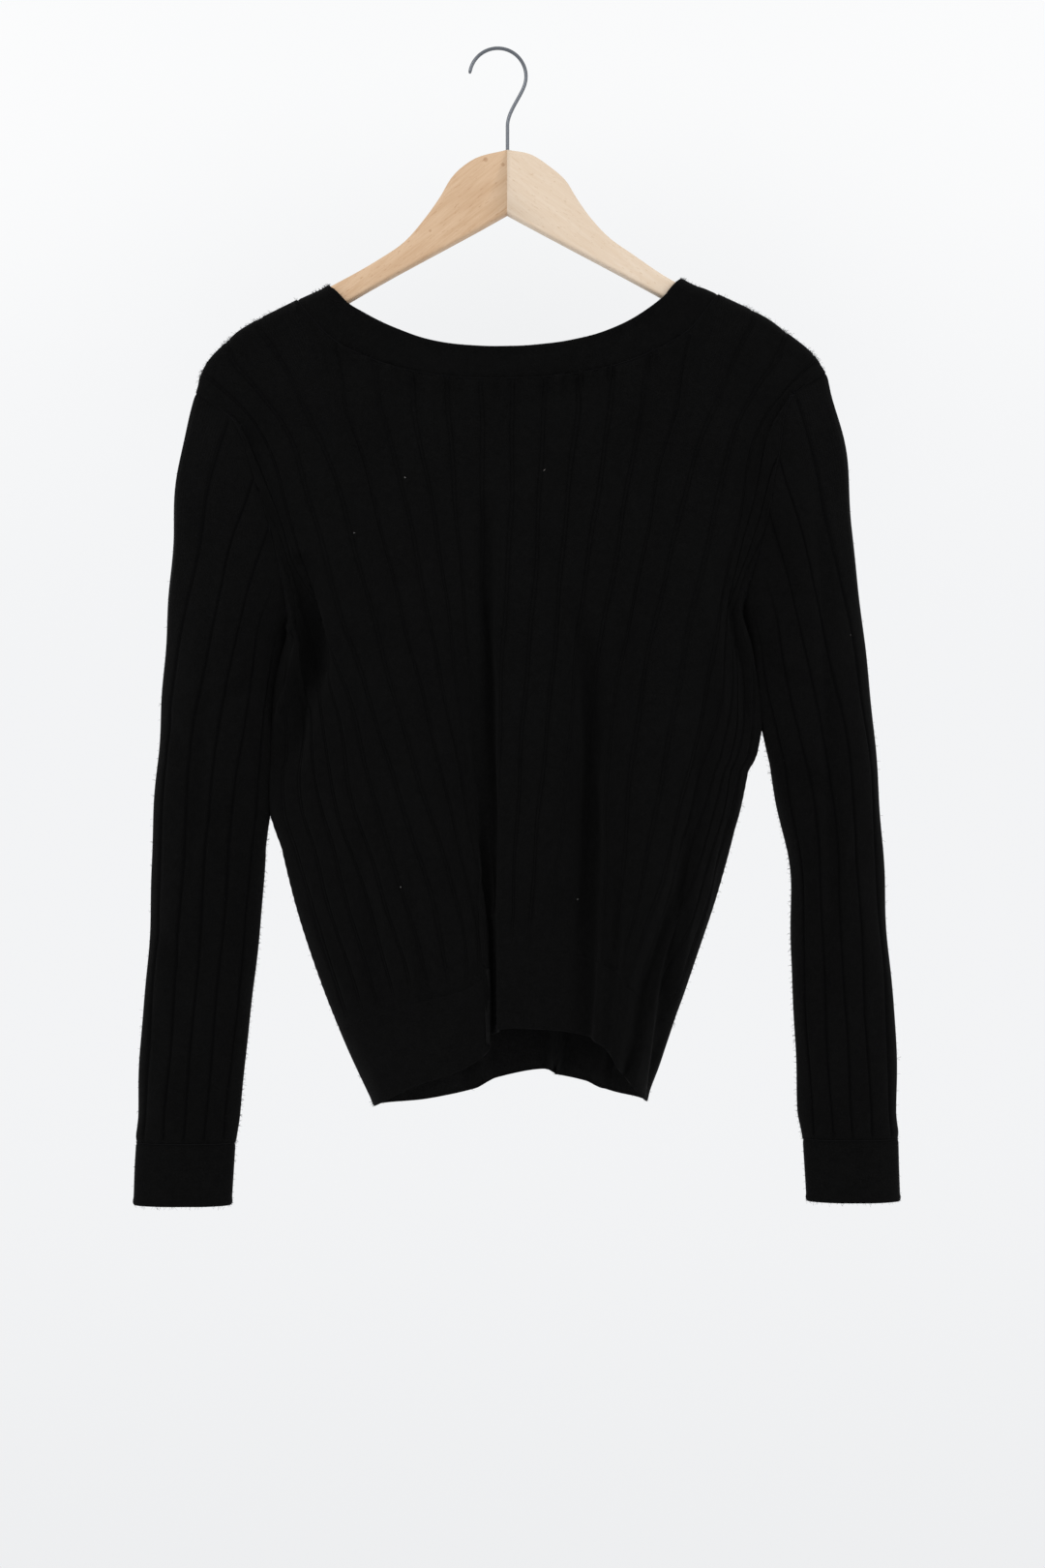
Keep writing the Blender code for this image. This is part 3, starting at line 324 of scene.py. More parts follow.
# Soft creases pressed into the cloth, or raised where the depth is negative: a centre line of
# points in X and Z, how far it reaches to each side, and its depth.  A smaller CREASE_ENDS brings
# it sooner to its depth from its ends.
Crease = namedtuple("Crease", "path reach depth")
CREASE_ENDS = 0.5
FRONT_CREASES = (
    Crease(
        ((-0.0096, -0.320), (-0.0072, -0.375), (-0.0066, -0.460), (-0.0060, -0.545), (-0.0050, -0.612)),
        0.0085, 0.0115,
    ),
    Crease(((-0.0056, -0.570), (-0.0050, -0.640), (-0.0046, -0.770)), 0.0068, 0.0046),
    Crease(
        ((0.0486, -0.385), (0.0645, -0.433), (0.0666, -0.489), (0.0638, -0.585), (0.0585, -0.780)),
        0.0120, 0.0105,
    ),
    Crease(((0.0880, -0.530), (0.0831, -0.609), (0.0776, -0.700)), 0.0110, 0.0026),
    Crease(((0.1345, -0.560), (0.1294, -0.609), (0.1204, -0.660), (0.1060, -0.790)), 0.0080, 0.0070),
    Crease(
        ((-0.1356, -0.362), (-0.1322, -0.4057), (-0.1300, -0.440), (-0.1390, -0.4747), (-0.1500, -0.512)),
        0.0150, 0.0125,
    ),
    Crease(
        ((-0.1600, -0.4165), (-0.1480, -0.4105), (-0.1400, -0.4200), (-0.1440, -0.4420), (-0.1570, -0.482)),
        0.0042, -0.0064,
    ),
    Crease(((-0.1300, -0.520), (-0.1180, -0.560), (-0.1010, -0.610)), 0.0110, 0.0022),
    Crease(((0.1640, -0.385), (0.1670, -0.410), (0.1740, -0.440), (0.1770, -0.490)), 0.0055, 0.0040),
    Crease(((0.1560, -0.400), (0.1545, -0.430), (0.1600, -0.480)), 0.0065, -0.0020),
    Crease(((0.1500, -0.430), (0.1440, -0.500), (0.1330, -0.570)), 0.0120, 0.0040),
    Crease(((-0.1760, -0.262), (-0.1580, -0.318), (-0.1460, -0.365)), 0.0120, 0.0016),
    Crease(((0.1860, -0.250), (0.1740, -0.318), (0.1670, -0.366)), 0.0120, 0.0016),
    Crease(((-0.0980, -0.560), (-0.0880, -0.620), (-0.0820, -0.680)), 0.0120, 0.0026),
    Crease(((-0.0600, -0.600), (-0.0500, -0.650), (-0.0460, -0.705)), 0.0090, 0.0024),
    Crease(((0.0200, -0.640), (0.0240, -0.680), (0.0260, -0.710)), 0.0080, -0.0024),
    Crease(((-0.0900, -0.225), (-0.0780, -0.300), (-0.0700, -0.380)), 0.0160, 0.0010),
    Crease(((0.0980, -0.222), (0.0880, -0.300), (0.0780, -0.380)), 0.0160, 0.0010),
)
BACK_CREASES = (
    Crease(((-0.134, -0.380), (-0.133, -0.415), (-0.140, -0.450)), 0.0080, 0.0034),
    Crease(((0.164, -0.375), (0.162, -0.415), (0.168, -0.455)), 0.0070, 0.0030),
    Crease(((-0.150, -0.470), (-0.130, -0.530), (-0.118, -0.600)), 0.0120, 0.0026),
    Crease(((0.150, -0.470), (0.140, -0.540), (0.122, -0.610)), 0.0110, 0.0022),
    Crease(((-0.084, -0.560), (-0.070, -0.640), (-0.064, -0.720)), 0.0110, 0.0028),
    Crease(((0.010, -0.240), (0.012, -0.330), (0.020, -0.420)), 0.0180, 0.0012),
    Crease(((0.076, -0.540), (0.074, -0.620), (0.070, -0.720)), 0.0090, 0.0022),
    Crease(((-0.170, -0.270), (-0.150, -0.330), (-0.140, -0.380)), 0.0130, 0.0016),
    Crease(((0.186, -0.262), (0.172, -0.330), (0.166, -0.370)), 0.0120, 0.0016),
)
SLEEVE_CREASES = (
    Crease(((0.172, -0.333), (0.190, -0.338), (0.199, -0.350), (0.213, -0.392)), 0.0050, 0.0022),
    Crease(((0.186, -0.420), (0.196, -0.440), (0.214, -0.452)), 0.0070, 0.0024),
    Crease(((0.198, -0.500), (0.214, -0.520), (0.236, -0.528)), 0.0100, 0.0020),
    Crease(((0.262, -0.560), (0.246, -0.590), (0.226, -0.604)), 0.0110, 0.0018),
    Crease(((0.222, -0.640), (0.236, -0.676), (0.262, -0.690)), 0.0110, 0.0016),
    Crease(((0.240, -0.290), (0.226, -0.340), (0.222, -0.400)), 0.0120, 0.0014),
    Crease(((-0.166, -0.430), (-0.176, -0.452), (-0.196, -0.462)), 0.0070, 0.0024),
    Crease(((-0.172, -0.520), (-0.190, -0.545), (-0.214, -0.552)), 0.0100, 0.0020),
    Crease(((-0.240, -0.470), (-0.222, -0.500), (-0.204, -0.508)), 0.0110, 0.0018),
    Crease(((-0.246, -0.620), (-0.226, -0.648), (-0.198, -0.656)), 0.0120, 0.0018),
    Crease(((-0.184, -0.690), (-0.200, -0.722), (-0.226, -0.734)), 0.0110, 0.0016),
    Crease(((-0.222, -0.300), (-0.206, -0.350), (-0.202, -0.410)), 0.0120, 0.0014),
    Crease(
        ((0.2277, -0.311), (0.2329, -0.4265), (0.2356, -0.547), (0.2382, -0.610), (0.2290, -0.690)),
        0.0095, 0.0042,
    ),
    Crease(((-0.2017, -0.370), (-0.2094, -0.514), (-0.2247, -0.640)), 0.0095, 0.0022),
)

# How much higher the sleeves' creases lie on their backs.
BACK_CREASES_RAISED = 0.045

# Slow unevenness of the hanging cloth.
Swell = namedtuple("Swell", "across down phase height")
SWELLS = (
    Swell(0.083, 0.190, 0.4, 0.00045),
    Swell(0.047, -0.131, 2.1, 0.00035),
    Swell(0.118, 0.071, 4.0, 0.00035),
    Swell(0.029, 0.097, 1.2, 0.00018),
)

# How far the channels stray sideways as they run down the cloth.
Waver = namedtuple("Waver", "side length per_line")
SLOW_WAVER = Waver(0.0007, 0.034, 1.7)
QUICK_WAVER = Waver(0.0005, 0.013, 4.1)
SLEEVE_WAVER = Waver(0.0005, 0.021, 2.3)

# Ripples round a plain band, and the thicker stitches along its free edge.
Ripple = namedtuple("Ripple", "height length")
BAND_RIPPLES = (Ripple(0.00035, 0.011), Ripple(0.0002, 0.0041))
BEAD_PLACE = 0.0022
BEAD_WIDTH = 0.0018
EDGE_TUCK = 0.0003

# Distances from its edges within which a piece has no ribs, creases or ripples, or fewer: metres,
# lines from the side seam where the name says so, or a share of the sleeve.
CALM_LINES_OF_RIBS = 3
CALM_LINES_OF_CREASES = 0.5
ARMPIT_CALM = 0.060
SLEEVE_CALM = 0.15
PANEL_TOP_CALM = 0.030
PANEL_FOOT_CALM = 0.020
WAVER_FOOT_CALM = 0.03
RIB_TOP_CALM = 0.005
RIB_FOOT_START = 0.001
RIB_FOOT_CALM = 0.026
SLEEVE_END_CALM = 0.020
SLEEVE_RIB_CALM = 0.006
BAND_TOP_CALM = 0.02
BAND_CLOSE_CALM = 0.01

# Shares of the way down a piece at which its rows of points lie, closer together at its seams.
PANEL_SHARES = np.array([
    *(0.0, 0.001, 0.002, 0.0035, 0.005, 0.007, 0.0095, 0.0125, 0.016, 0.020, 0.0245),
    *np.linspace(0.030, 0.984, 78),
    *(0.989, 0.993, 0.996, 0.998, 1.0),
])
SLEEVE_SHARES = np.array([
    *(0.0, 0.001, 0.0025, 0.0045, 0.007, 0.010),
    *np.linspace(0.016, 0.988, 96),
    *(0.993, 0.997, 1.0),
])
BAND_SHARES = np.array([
    *(0.0, 0.01, 0.03, 0.06, 0.11),
    *(0.2, 0.3, 0.4, 0.5, 0.6, 0.7, 0.8),
    *(0.88, 0.94, 0.975, 1.0),
])

# Columns of points: steps round a band, extra columns beside the neck corners, and the narrowest
# space between two columns of a panel, in lines.
COLUMN_STEP = 0.125
CORNER_STEPS = 6
PANEL_NECK_COLUMNS = (8.99, 8.98, 8.965)
BAND_NECK_COLUMNS = [8.775, 8.80, 8.83, 8.86, 8.89, 8.92, 8.945, 8.97]
CLOSEST_COLUMNS = 0.008


# ---------------------------------------------------------------- reading tables
def bent(start, end, start_slope, end_slope, part, span=1.0):
    """A smooth curve from start to end with the given slopes, read at a part of its span."""
    rest = 1.0 - part
    straight = start * (1 + 2 * part) * rest ** 2 + end * (3 - 2 * part) * part ** 2
    return straight + (start_slope * part * rest ** 2 - end_slope * part ** 2 * rest) * span


def smooth_read(keys, values, at):
    """Smooth curve through values at keys, which rise, read at an array of places."""
    at = np.clip(np.asarray(at, dtype=float), keys[0], keys[-1])
    slopes = np.gradient(values, keys)
    low = np.clip(np.searchsorted(keys, at) - 1, 0, len(keys) - 2)
    span = keys[low + 1] - keys[low]
    part = (at - keys[low]) / span
    return bent(values[low], values[low + 1], slopes[low], slopes[low + 1], part, span)


def read(rows, key, column, at):
    """Smooth values of a table's column where its key column equals at."""
    keys = np.array([getattr(row, key) for row in rows], dtype=float)
    values = np.array([getattr(row, column) for row in rows], dtype=float)
    if keys[0] > keys[-1]:
        return smooth_read(keys[::-1], values[::-1], at)
    return smooth_read(keys, values, at)


def ease(value):
    """A soft step from 0 to 1."""
    value = np.clip(value, 0.0, 1.0)
    return value * value * (3.0 - 2.0 * value)


def stacked(x, y, z):
    """Points from three arrays or numbers."""
    return np.stack(np.broadcast_arrays(x, y, z), axis=-1).astype(float)


# ---------------------------------------------------------------- the body's surface
def folds_of(face):
    return FRONT_FOLDS if face == FRONT else BACK_FOLDS


def fold_strength(fold, height):
    """0 where a fold hasn't begun or has died away, 1 where it is full."""
    grown = ease((fold.start - height) / (fold.start - fold.full))
    gone = ease((fold.fade - height) / (fold.fade - fold.end))
    return grown * (1.0 - gone)


def hidden_ribs(fold, line):
    """Ribs swallowed between line 0 and line by a fold at full strength.

    At its middle the fold swallows its hidden share, and less by the fourth power of the distance
    towards its edges.  This is the sum of that from the left edge, where it is 0.
    """
    reach = np.clip((line - fold.line) / fold.half, -1.0, 1.0)
    return fold.hidden * fold.half * (reach - reach ** 5 / 5.0 + 4.0 / 5.0)


def shown_ribs(line, height, face):
    """Width between line 0 and line in ribs, without what the folds swallow."""
    return line - sum(hidden_ribs(f, line) * fold_strength(f, height) for f in folds_of(face))


def monotone_read(keys, values, at):
    """Smooth curve through arrays of values at rising keys, which never turns back."""
    widths = np.diff(keys)
    slopes = [(after - before) / width for before, after, width in zip(values, values[1:], widths)]
    bends = [slopes[0]]
    for before, after in zip(slopes, slopes[1:]):
        bends.append(2.0 * before * after / np.maximum(before + after, TINY_SLOPE))
    bends.append(slopes[-1])
    result = values[0]
    for k, width in enumerate(widths):
        part = np.clip((at - keys[k]) / width, 0.0, 1.0)
        curve = bent(values[k], values[k + 1], bends[k], bends[k + 1], part, width)
        result = np.where(at > keys[k], curve, result)
    return result


def side_fill(column, height):
    """How far an edge's cloth lies over beside the other below the armpit."""
    keys = [row.height for row in SIDE_FILL][::-1]
    return np.interp(height, keys, [getattr(row, column) for row in SIDE_FILL][::-1])


def body_x(line, height, face):
    """Place in X of a line: the front's ribs flow as their table says, the back's close up in folds."""
    line, height = np.broadcast_arrays(line, height)
    keys = [0, LEFT_LINE, RIGHT_LINE, LAST_LINE]
    columns = ("left_edge", "left_line", "right_line", "right_edge")
    places = [read(BODY, "height", column, height) for column in columns]
    places[0] = places[0] + side_fill("body_left", height)
    places[-1] = places[-1] + side_fill("body_right", height)
    if face == FRONT:
        keys[2:2] = FLOW_LINES
        places[2:2] = [read(FRONT_FLOW, "height", f"at_{at}", height) for at in FLOW_LINES]
        return monotone_read(keys, places, line)
    shown = shown_ribs(line, height, face)
    place = np.zeros_like(shown)
    for low, high, start, end in zip(keys, keys[1:], places, places[1:]):
        first = shown_ribs(low, height, face)
        share = (shown - first) / (shown_ribs(high, height, face) - first)
        place = np.where((line >= low) & (line <= high), start + (end - start) * share, place)
    return place


def fold_depth(line, height, face):
    """How far the folds sink the cloth at a line and height."""
    depth = 0.0
    for fold in folds_of(face):
        reach = np.clip((line - fold.line) / fold.half, -1.0, 1.0)
        depth = depth + fold.depth * np.cos(reach * math.pi / 2) ** 2 * fold_strength(fold, height)
    return depth


def body_depth(line, height, face):
    """How far the cloth stands before or behind the garment's middle plane."""
    across = np.abs(line - CENTRE_LINE) / CENTRE_LINE
    bulge = np.sqrt(np.clip(1.0 - across ** BODY_ROUND, 0.0, 1.0))
    full = read(BODY, "height", "front" if face == FRONT else "back", height)
    return full * bulge - fold_depth(line, height, face)


def body_point(line, height, face):
    return stacked(body_x(line, height, face), face * body_depth(line, height, face), height)


# ---------------------------------------------------------------- the edges of the pieces
CORNER_TURNS = [NECK_CORNER + NECK_TURN * step / CORNER_STEPS for step in range(CORNER_STEPS + 1)]
NECK_NODES = (
    CORNER_TURNS
    + list(range(FIRST_NECK_LINE, LAST_LINE - FIRST_NECK_LINE + 1))
    + [LAST_LINE - line for line in CORNER_TURNS[::-1]]
)


def neck_node(line, face):
    """Seam of the neckband at a line: x, y, height, and how far it has turned over the hanger."""
    left_corner = SHOULDER_LEFT[-1]
    right_corner = SHOULDER_RIGHT[-1]
    corner = left_corner if line < CENTRE_LINE else right_corner
    turn = abs(line - corner.line) / NECK_TURN * math.pi / 2
    if turn <= math.pi / 2:
        slant = NECK_SLANT * (1.0 - math.cos(turn))
        x = corner.x + math.copysign(slant, NECK_MIDDLE - corner.x)
        height = corner.height - WRAP * (1.0 - math.cos(turn)) + slant * math.tan(SHOULDER_TILT)
        return x, face * WRAP * math.sin(turn), height, turn
    count = line - CENTRE_LINE
    x = NECK_CENTRE_X + RIB_PITCH_AT_NECK * count + RIB_FAN_AT_NECK * count ** 3
    side = (x - NECK_MIDDLE) / NECK_HALF
    top = left_corner.height + (right_corner.height - left_corner.height) * (side + 1) / 2
    depth = WRAP + (NECK_FRONT - WRAP) * math.sqrt(1.0 - abs(side))
    drop = NECK_DROP * (1.0 - abs(side) ** NECK_SQUARENESS) ** NECK_BOWL
    return x, face * depth, top - drop, math.pi / 2


def collar_node(line, face):
    """The neckline's upper edge opposite the neck seam at a line."""
    x, y, _, turn = neck_node(line, face)
    if min(line, LAST_LINE - line) <= CORNER_TURNS[-1]:
        right = line > CENTRE_LINE
        side = 1.0 if right else -1.0
        corner_x, corner_z = COLLAR_CORNERS[right]
        drop = 1.0 - math.cos(turn)
        fall = WRAP * drop + COLLAR_FALL[right] * drop ** 2
        return corner_x - side * COLLAR_SLANT * drop, y, corner_z - fall
    side = max(min((x - NECK_MIDDLE) / NECK_HALF, 1.0), -1.0)
    depth = abs(y) - COLLAR_LEAN * (abs(y) - WRAP)
    x = NECK_MIDDLE + COLLAR_HALF * side
    return x, face * depth, float(read(COLLAR, "x", "height", x))


def along_nodes(node, lines, face):
    """A piece's edge through its nodes, one column of values for each that the node gives."""
    table = np.array([node(line, face) for line in NECK_NODES])
    steps = np.linalg.norm(np.diff(table[:, :3], axis=0), axis=1)
    run = np.concatenate([[0.0], np.cumsum(steps)])
    at = np.interp(lines, NECK_NODES, run)
    return [smooth_read(run, table[:, column], at) for column in range(table.shape[1])]


def top_edge(lines, face):
    """Top points of the lines on a panel, and how far each has turned over the hanger's arm."""
    x, y, z, turn = along_nodes(neck_node, lines, face)
    turn = np.minimum(turn, math.pi / 2)
    for armhole, shoulder, from_side in (
        (ARMHOLE_LEFT, SHOULDER_LEFT, lines),
        (ARMHOLE_RIGHT, SHOULDER_RIGHT, LAST_LINE - lines),
    ):
        in_arm = from_side < ARM_CORNER
        in_shoulder = (from_side >= ARM_CORNER) & (from_side <= NECK_CORNER)
        for rows, here in ((armhole, in_arm), (shoulder, in_shoulder)):
            x = np.where(here, read(rows, "line", "x", lines), x)
            y = np.where(here, face * read(rows, "line", "depth", lines), y)
            z = np.where(here, read(rows, "line", "height", lines), z)
        arm_turn = np.clip((ARM_CORNER - from_side) / ARM_TURN, 0.0, 1.0) * math.pi / 2
        turn = np.where(in_arm | in_shoulder, arm_turn, turn)
    return stacked(x, y, z), turn


def hem_height(lines, face):
    """Height of the hem's lower edge at the lines."""
    return read(HEM, "line", "front" if face == FRONT else "back", lines)


def panel_points(lines, shares, face):
    """The cloth's middle surface on a panel: a row for each share of the way down the lines."""
    tops, turn = top_edge(lines, face)
    foot = hem_height(lines, face) + HEM_BAND
    top_z = tops[:, 2]
    walked = shares[:, None] * (top_z - foot)
    left = (math.pi / 2 - turn) * WRAP
    wrapping = walked < left
    angle = turn + walked / WRAP
    height = np.where(
        wrapping,
        top_z - WRAP * (np.cos(turn) - np.cos(angle)),
        top_z - WRAP * np.cos(turn) - (walked - left),
    )
    height = np.maximum(height, foot)
    height[-1] = foot
    rim_y = np.where(turn > math.pi / 2 - NEAR, tops[:, 1], face * WRAP)
    from_side = np.minimum(lines, LAST_LINE - lines)
    near_neck = np.clip((from_side - ARM_CORNER) / LINES_TO_FULL_WRAP, 0.0, 1.0)
    past_wrap = np.maximum(walked - np.maximum(left, 0.0) * near_neck, 0.0)
    length = np.interp(from_side, *zip(*TOP_PULL))
    pull = np.maximum(1.0 - past_wrap / length, 0.0) ** 2
    start = body_point(lines, top_z, face)
    free = body_point(lines[None, :], height, face)
    x = free[..., 0] + (tops[:, 0] - start[:, 0]) * pull
    y = free[..., 1] + (rim_y - start[:, 1]) * (1.0 - ease((top_z - height) / DRAPE_REACH))
    y = np.where(wrapping, face * WRAP * np.sin(angle), y)
    points = stacked(x, y, height)
    settle = 1.0 - ease(walked / TOP_SETTLES)
    return points + (tops - points[0])[None, :, :] * settle[..., None]


def hem_points(lines, shares, face):
    """Half of the hem band: a row for each share of the way down to its lower edge."""
    height = hem_height(lines, face) + HEM_BAND * (1.0 - shares[:, None])
    return body_point(lines[None, :], height, face)


def sleeve_points(table, armhole, from_side, face, shares):
    """Rows down a sleeve; from_side and face hold the line and the face of each column."""
    lines = from_side if armhole[0].line < CENTRE_LINE else LAST_LINE - from_side
    across = read(SLEEVE_ACROSS, "line", "across", from_side)
    seam = [read(armhole, "line", column, lines) for column in ("x", "depth", "height")]
    shares = shares[:, None]
    ends = {name: read(table, "share", name, shares) for name in SleeveRow._fields[1:]}
    first = table[0]
    fading = 1.0 - ease(shares / SEAM_SHAPE_FADES)
    places = []
    for seam_value, outer, inner in (
        (seam[0], "outer_x", "inner_x"),
        (seam[2], "outer_height", "inner_height"),
    ):
        straight = ends[outer] + (ends[inner] - ends[outer]) * across
        top = getattr(first, outer) + (getattr(first, inner) - getattr(first, outer)) * across
        places.append(straight + (seam_value - top) * fading)
    fill = side_fill("sleeve_left" if armhole[0].line < CENTRE_LINE else "sleeve_right", places[1])
    places[0] = places[0] + fill * across ** 2
    rounded = ends["depth"] * np.sqrt(np.clip(1.0 - np.abs(2 * across - 1) ** SLEEVE_ROUND, 0.0, 1.0))
    settled = ease(shares / SLEEVE_SETTLES)
    y = face * (np.abs(seam[1]) * (1 - settled) + rounded * settled)
    return stacked(places[0], y, places[1])


# ---------------------------------------------------------------- the cloth's relief
def columns_between(first, last, marks):
    """Columns at the given shares of every rib from line first to line last."""
    lines = [line + mark for line in range(int(first), int(math.ceil(last))) for mark in marks]
    return [line for line in lines if first <= line < last] + [last]


def facing(points, closed, outward):
    """Unit normals of a grid of points, turned to the side of outward."""
    if closed:
        wrapped = np.concatenate([points[:, -2:-1], points, points[:, 1:2]], axis=1)
        along = wrapped[:, 2:] - wrapped[:, :-2]
    else:
        along = np.gradient(points, axis=1)
    down = np.gradient(points, axis=0)
    normals = np.cross(along, down)
    normals /= np.maximum(np.linalg.norm(normals, axis=-1, keepdims=True), TINY_LENGTH)
    if np.sum(normals * outward) < 0:
        normals = -normals
    return normals


def flatten_normals(normals, where):
    """Normals that lie in the plane of the seam between front and back."""
    normals[(*where, 1)] = 0.0
    normals[where] /= np.linalg.norm(normals[where], axis=-1, keepdims=True)


def ribbed(points, lines):
    """Distance from the nearest channel in ribs, and the width of the rib, for every point."""
    run = travelled(points, 1)
    whole = np.array([k for k, line in enumerate(lines) if abs(line - round(line)) < NEAR])
    which = np.clip(np.searchsorted(lines[whole], lines, side="right") - 1, 0, len(whole) - 2)
    before, after = run[:, whole[which]], run[:, whole[which + 1]]
    pitch = np.maximum(after - before, NEAR)
    away = np.minimum(run - before, after - run) / np.minimum(pitch, WIDEST_RIB)
    return np.clip(away, 0.0, 0.5), pitch


def creased(x, z, creases):
    """Depth of all the creases at each place."""
    total = np.zeros_like(x)
    for crease in creases:
        path = np.array(crease.path)
        steps = np.diff(path, axis=0)
        lengths = np.linalg.norm(steps, axis=1)
        starts = np.concatenate([[0.0], np.cumsum(lengths)])
        nearest = np.full(x.shape, np.inf)
        along = np.zeros_like(x)
        for k, step in enumerate(steps):
            part = ((x - path[k, 0]) * step[0] + (z - path[k, 1]) * step[1]) / lengths[k] ** 2
            part = np.clip(part, 0.0, 1.0)
            away = np.hypot(x - path[k, 0] - part * step[0], z - path[k, 1] - part * step[1])
            closer = away < nearest
            nearest = np.where(closer, away, nearest)
            along = np.where(closer, (starts[k] + part * lengths[k]) / starts[-1], along)
        profile = np.cos(np.clip(nearest / crease.reach, 0.0, 1.0) * math.pi / 2) ** 2
        total += crease.depth * profile * np.clip(np.sin(math.pi * along), 0.0, 1.0) ** CREASE_ENDS
    return total


def swelling(x, z, shift):
    """Height of the slow unevenness at each place."""
    total = np.zeros_like(x)
    for swell in SWELLS:
        turns = x / swell.across + z / swell.down
        total += swell.height * np.sin(2 * math.pi * turns + swell.phase + shift)
    return total


def wavering(waver, z, lines, shift=0.0):
    """How far a channel strays sideways at each height."""
    return waver.side * np.sin(z / waver.length + lines * waver.per_line + shift)


def seam_dip(away):
    """How far the cloth sinks into a seam, by the distance from it."""
    return SEAM_DIP * (1.0 - ease(away / SEAM_REACH))


def travelled(points, axis):
    """Length walked along the rows or the columns of a grid."""
    steps = np.linalg.norm(np.diff(points, axis=axis), axis=-1)
    start = np.zeros_like(np.take(steps, [0], axis=axis))
    return np.concatenate([start, np.cumsum(steps, axis=axis)], axis=axis)


# ---------------------------------------------------------------- making the pieces
def rowed(made, points, uvs, painted_groove_shade):
    """Moves a flat grid's vertices onto the points, row by row, with UVs in metres."""
    rows, columns = points.shape[:2]
    marks = made.loops.layers.uv.new("UVMap")
    # The painted shade of the channels and seams, kept on each vertex for the knit's colour.
    depth = made.verts.layers.float.new("painted_groove_shade")
    place_of = {}
    for vertex in made.verts:
        column = round((vertex.co.x + 1) / 2 * (columns - 1))
        row = round((1 - vertex.co.y) / 2 * (rows - 1))
        place_of[vertex] = (row, column)
    for face in made.faces:
        face.smooth = True
        for loop in face.loops:
            loop[marks].uv = uvs[place_of[loop.vert]]
    for vertex, place in place_of.items():
        vertex.co = points[place]
        vertex[depth] = painted_groove_shade[place]
    return place_of


def add_piece(name, data, finish):
    """Puts a mesh or a curve into the scene with its finish."""
    piece = bpy.data.objects.new(name, data)
    bpy.context.scene.collection.objects.link(piece)
    data.materials.append(finish)
    return piece


def make_cloth(name, points, normals, uvs, painted_groove_shade, closed, finish, inner=None):
    """A knitted piece: a grid moved onto the points, closed round if it is a tube, then thickened.

    The inner finish, where one is given, goes on the inside of the cloth; on the hem band it is a copy of
    the knit made lighter with painted light.
    """
    rows, columns = points.shape[:2]
    made = bmesh.new()
    bmesh.ops.create_grid(made, x_segments=columns - 1, y_segments=rows - 1, size=1.0)
    place_of = rowed(made, points, uvs, painted_groove_shade)
    made.normal_update()
    agree = 0.0
    for face in made.faces:
        agree += face.normal.dot(Vector(normals[place_of[face.verts[0]]]))
    if agree < 0:
        bmesh.ops.reverse_faces(made, faces=made.faces)
    if closed:
        ends = [vertex for vertex, (row, column) in place_of.items() if column in (0, columns - 1)]
        bmesh.ops.remove_doubles(made, verts=ends, dist=NEAR)
    mesh = bpy.data.meshes.new(name)
    made.to_mesh(mesh)
    made.free()
    piece = add_piece(name, mesh, finish)
    shell = piece.modifiers.new("cloth", "SOLIDIFY")
    shell.thickness = CLOTH
    shell.offset = -1.0
    if inner:
        mesh.materials.append(inner)
        shell.material_offset = 1
    return piece


def cord_through(name, routes, radius, finish, round_steps=1, closed=False):
    """Threads of one thickness, each through its own points."""
    curve = bpy.data.curves.new(name, "CURVE")
    curve.dimensions = "3D"
    curve.bevel_depth = radius
    curve.bevel_resolution = round_steps
    curve.use_fill_caps = True
    for route in routes:
        spline = curve.splines.new("POLY")
        spline.points.add(len(route) - 1)
        spline.use_cyclic_u = closed
        flat = np.concatenate([np.asarray(route), np.ones((len(route), 1))], axis=1)
        spline.points.foreach_set("co", flat.ravel())
    return add_piece(name, curve, finish)


def panel_columns():
    """Lines of a panel's columns: the corners stay where columns would crowd together."""
    lines = set(columns_between(0, LAST_LINE, RIB_MARKS))
    for line in (*PANEL_NECK_COLUMNS, ARM_CORNER, *CORNER_TURNS):
        lines.update({line, LAST_LINE - line})
    lines = sorted(lines)
    kept = [lines[0]]
    for line in lines[1:]:
        if line - kept[-1] > CLOSEST_COLUMNS:
            kept.append(line)
        elif line in (ARM_CORNER, NECK_CORNER, LAST_LINE - ARM_CORNER, LAST_LINE - NECK_CORNER):
            kept[-1] = line
    return np.array(kept)


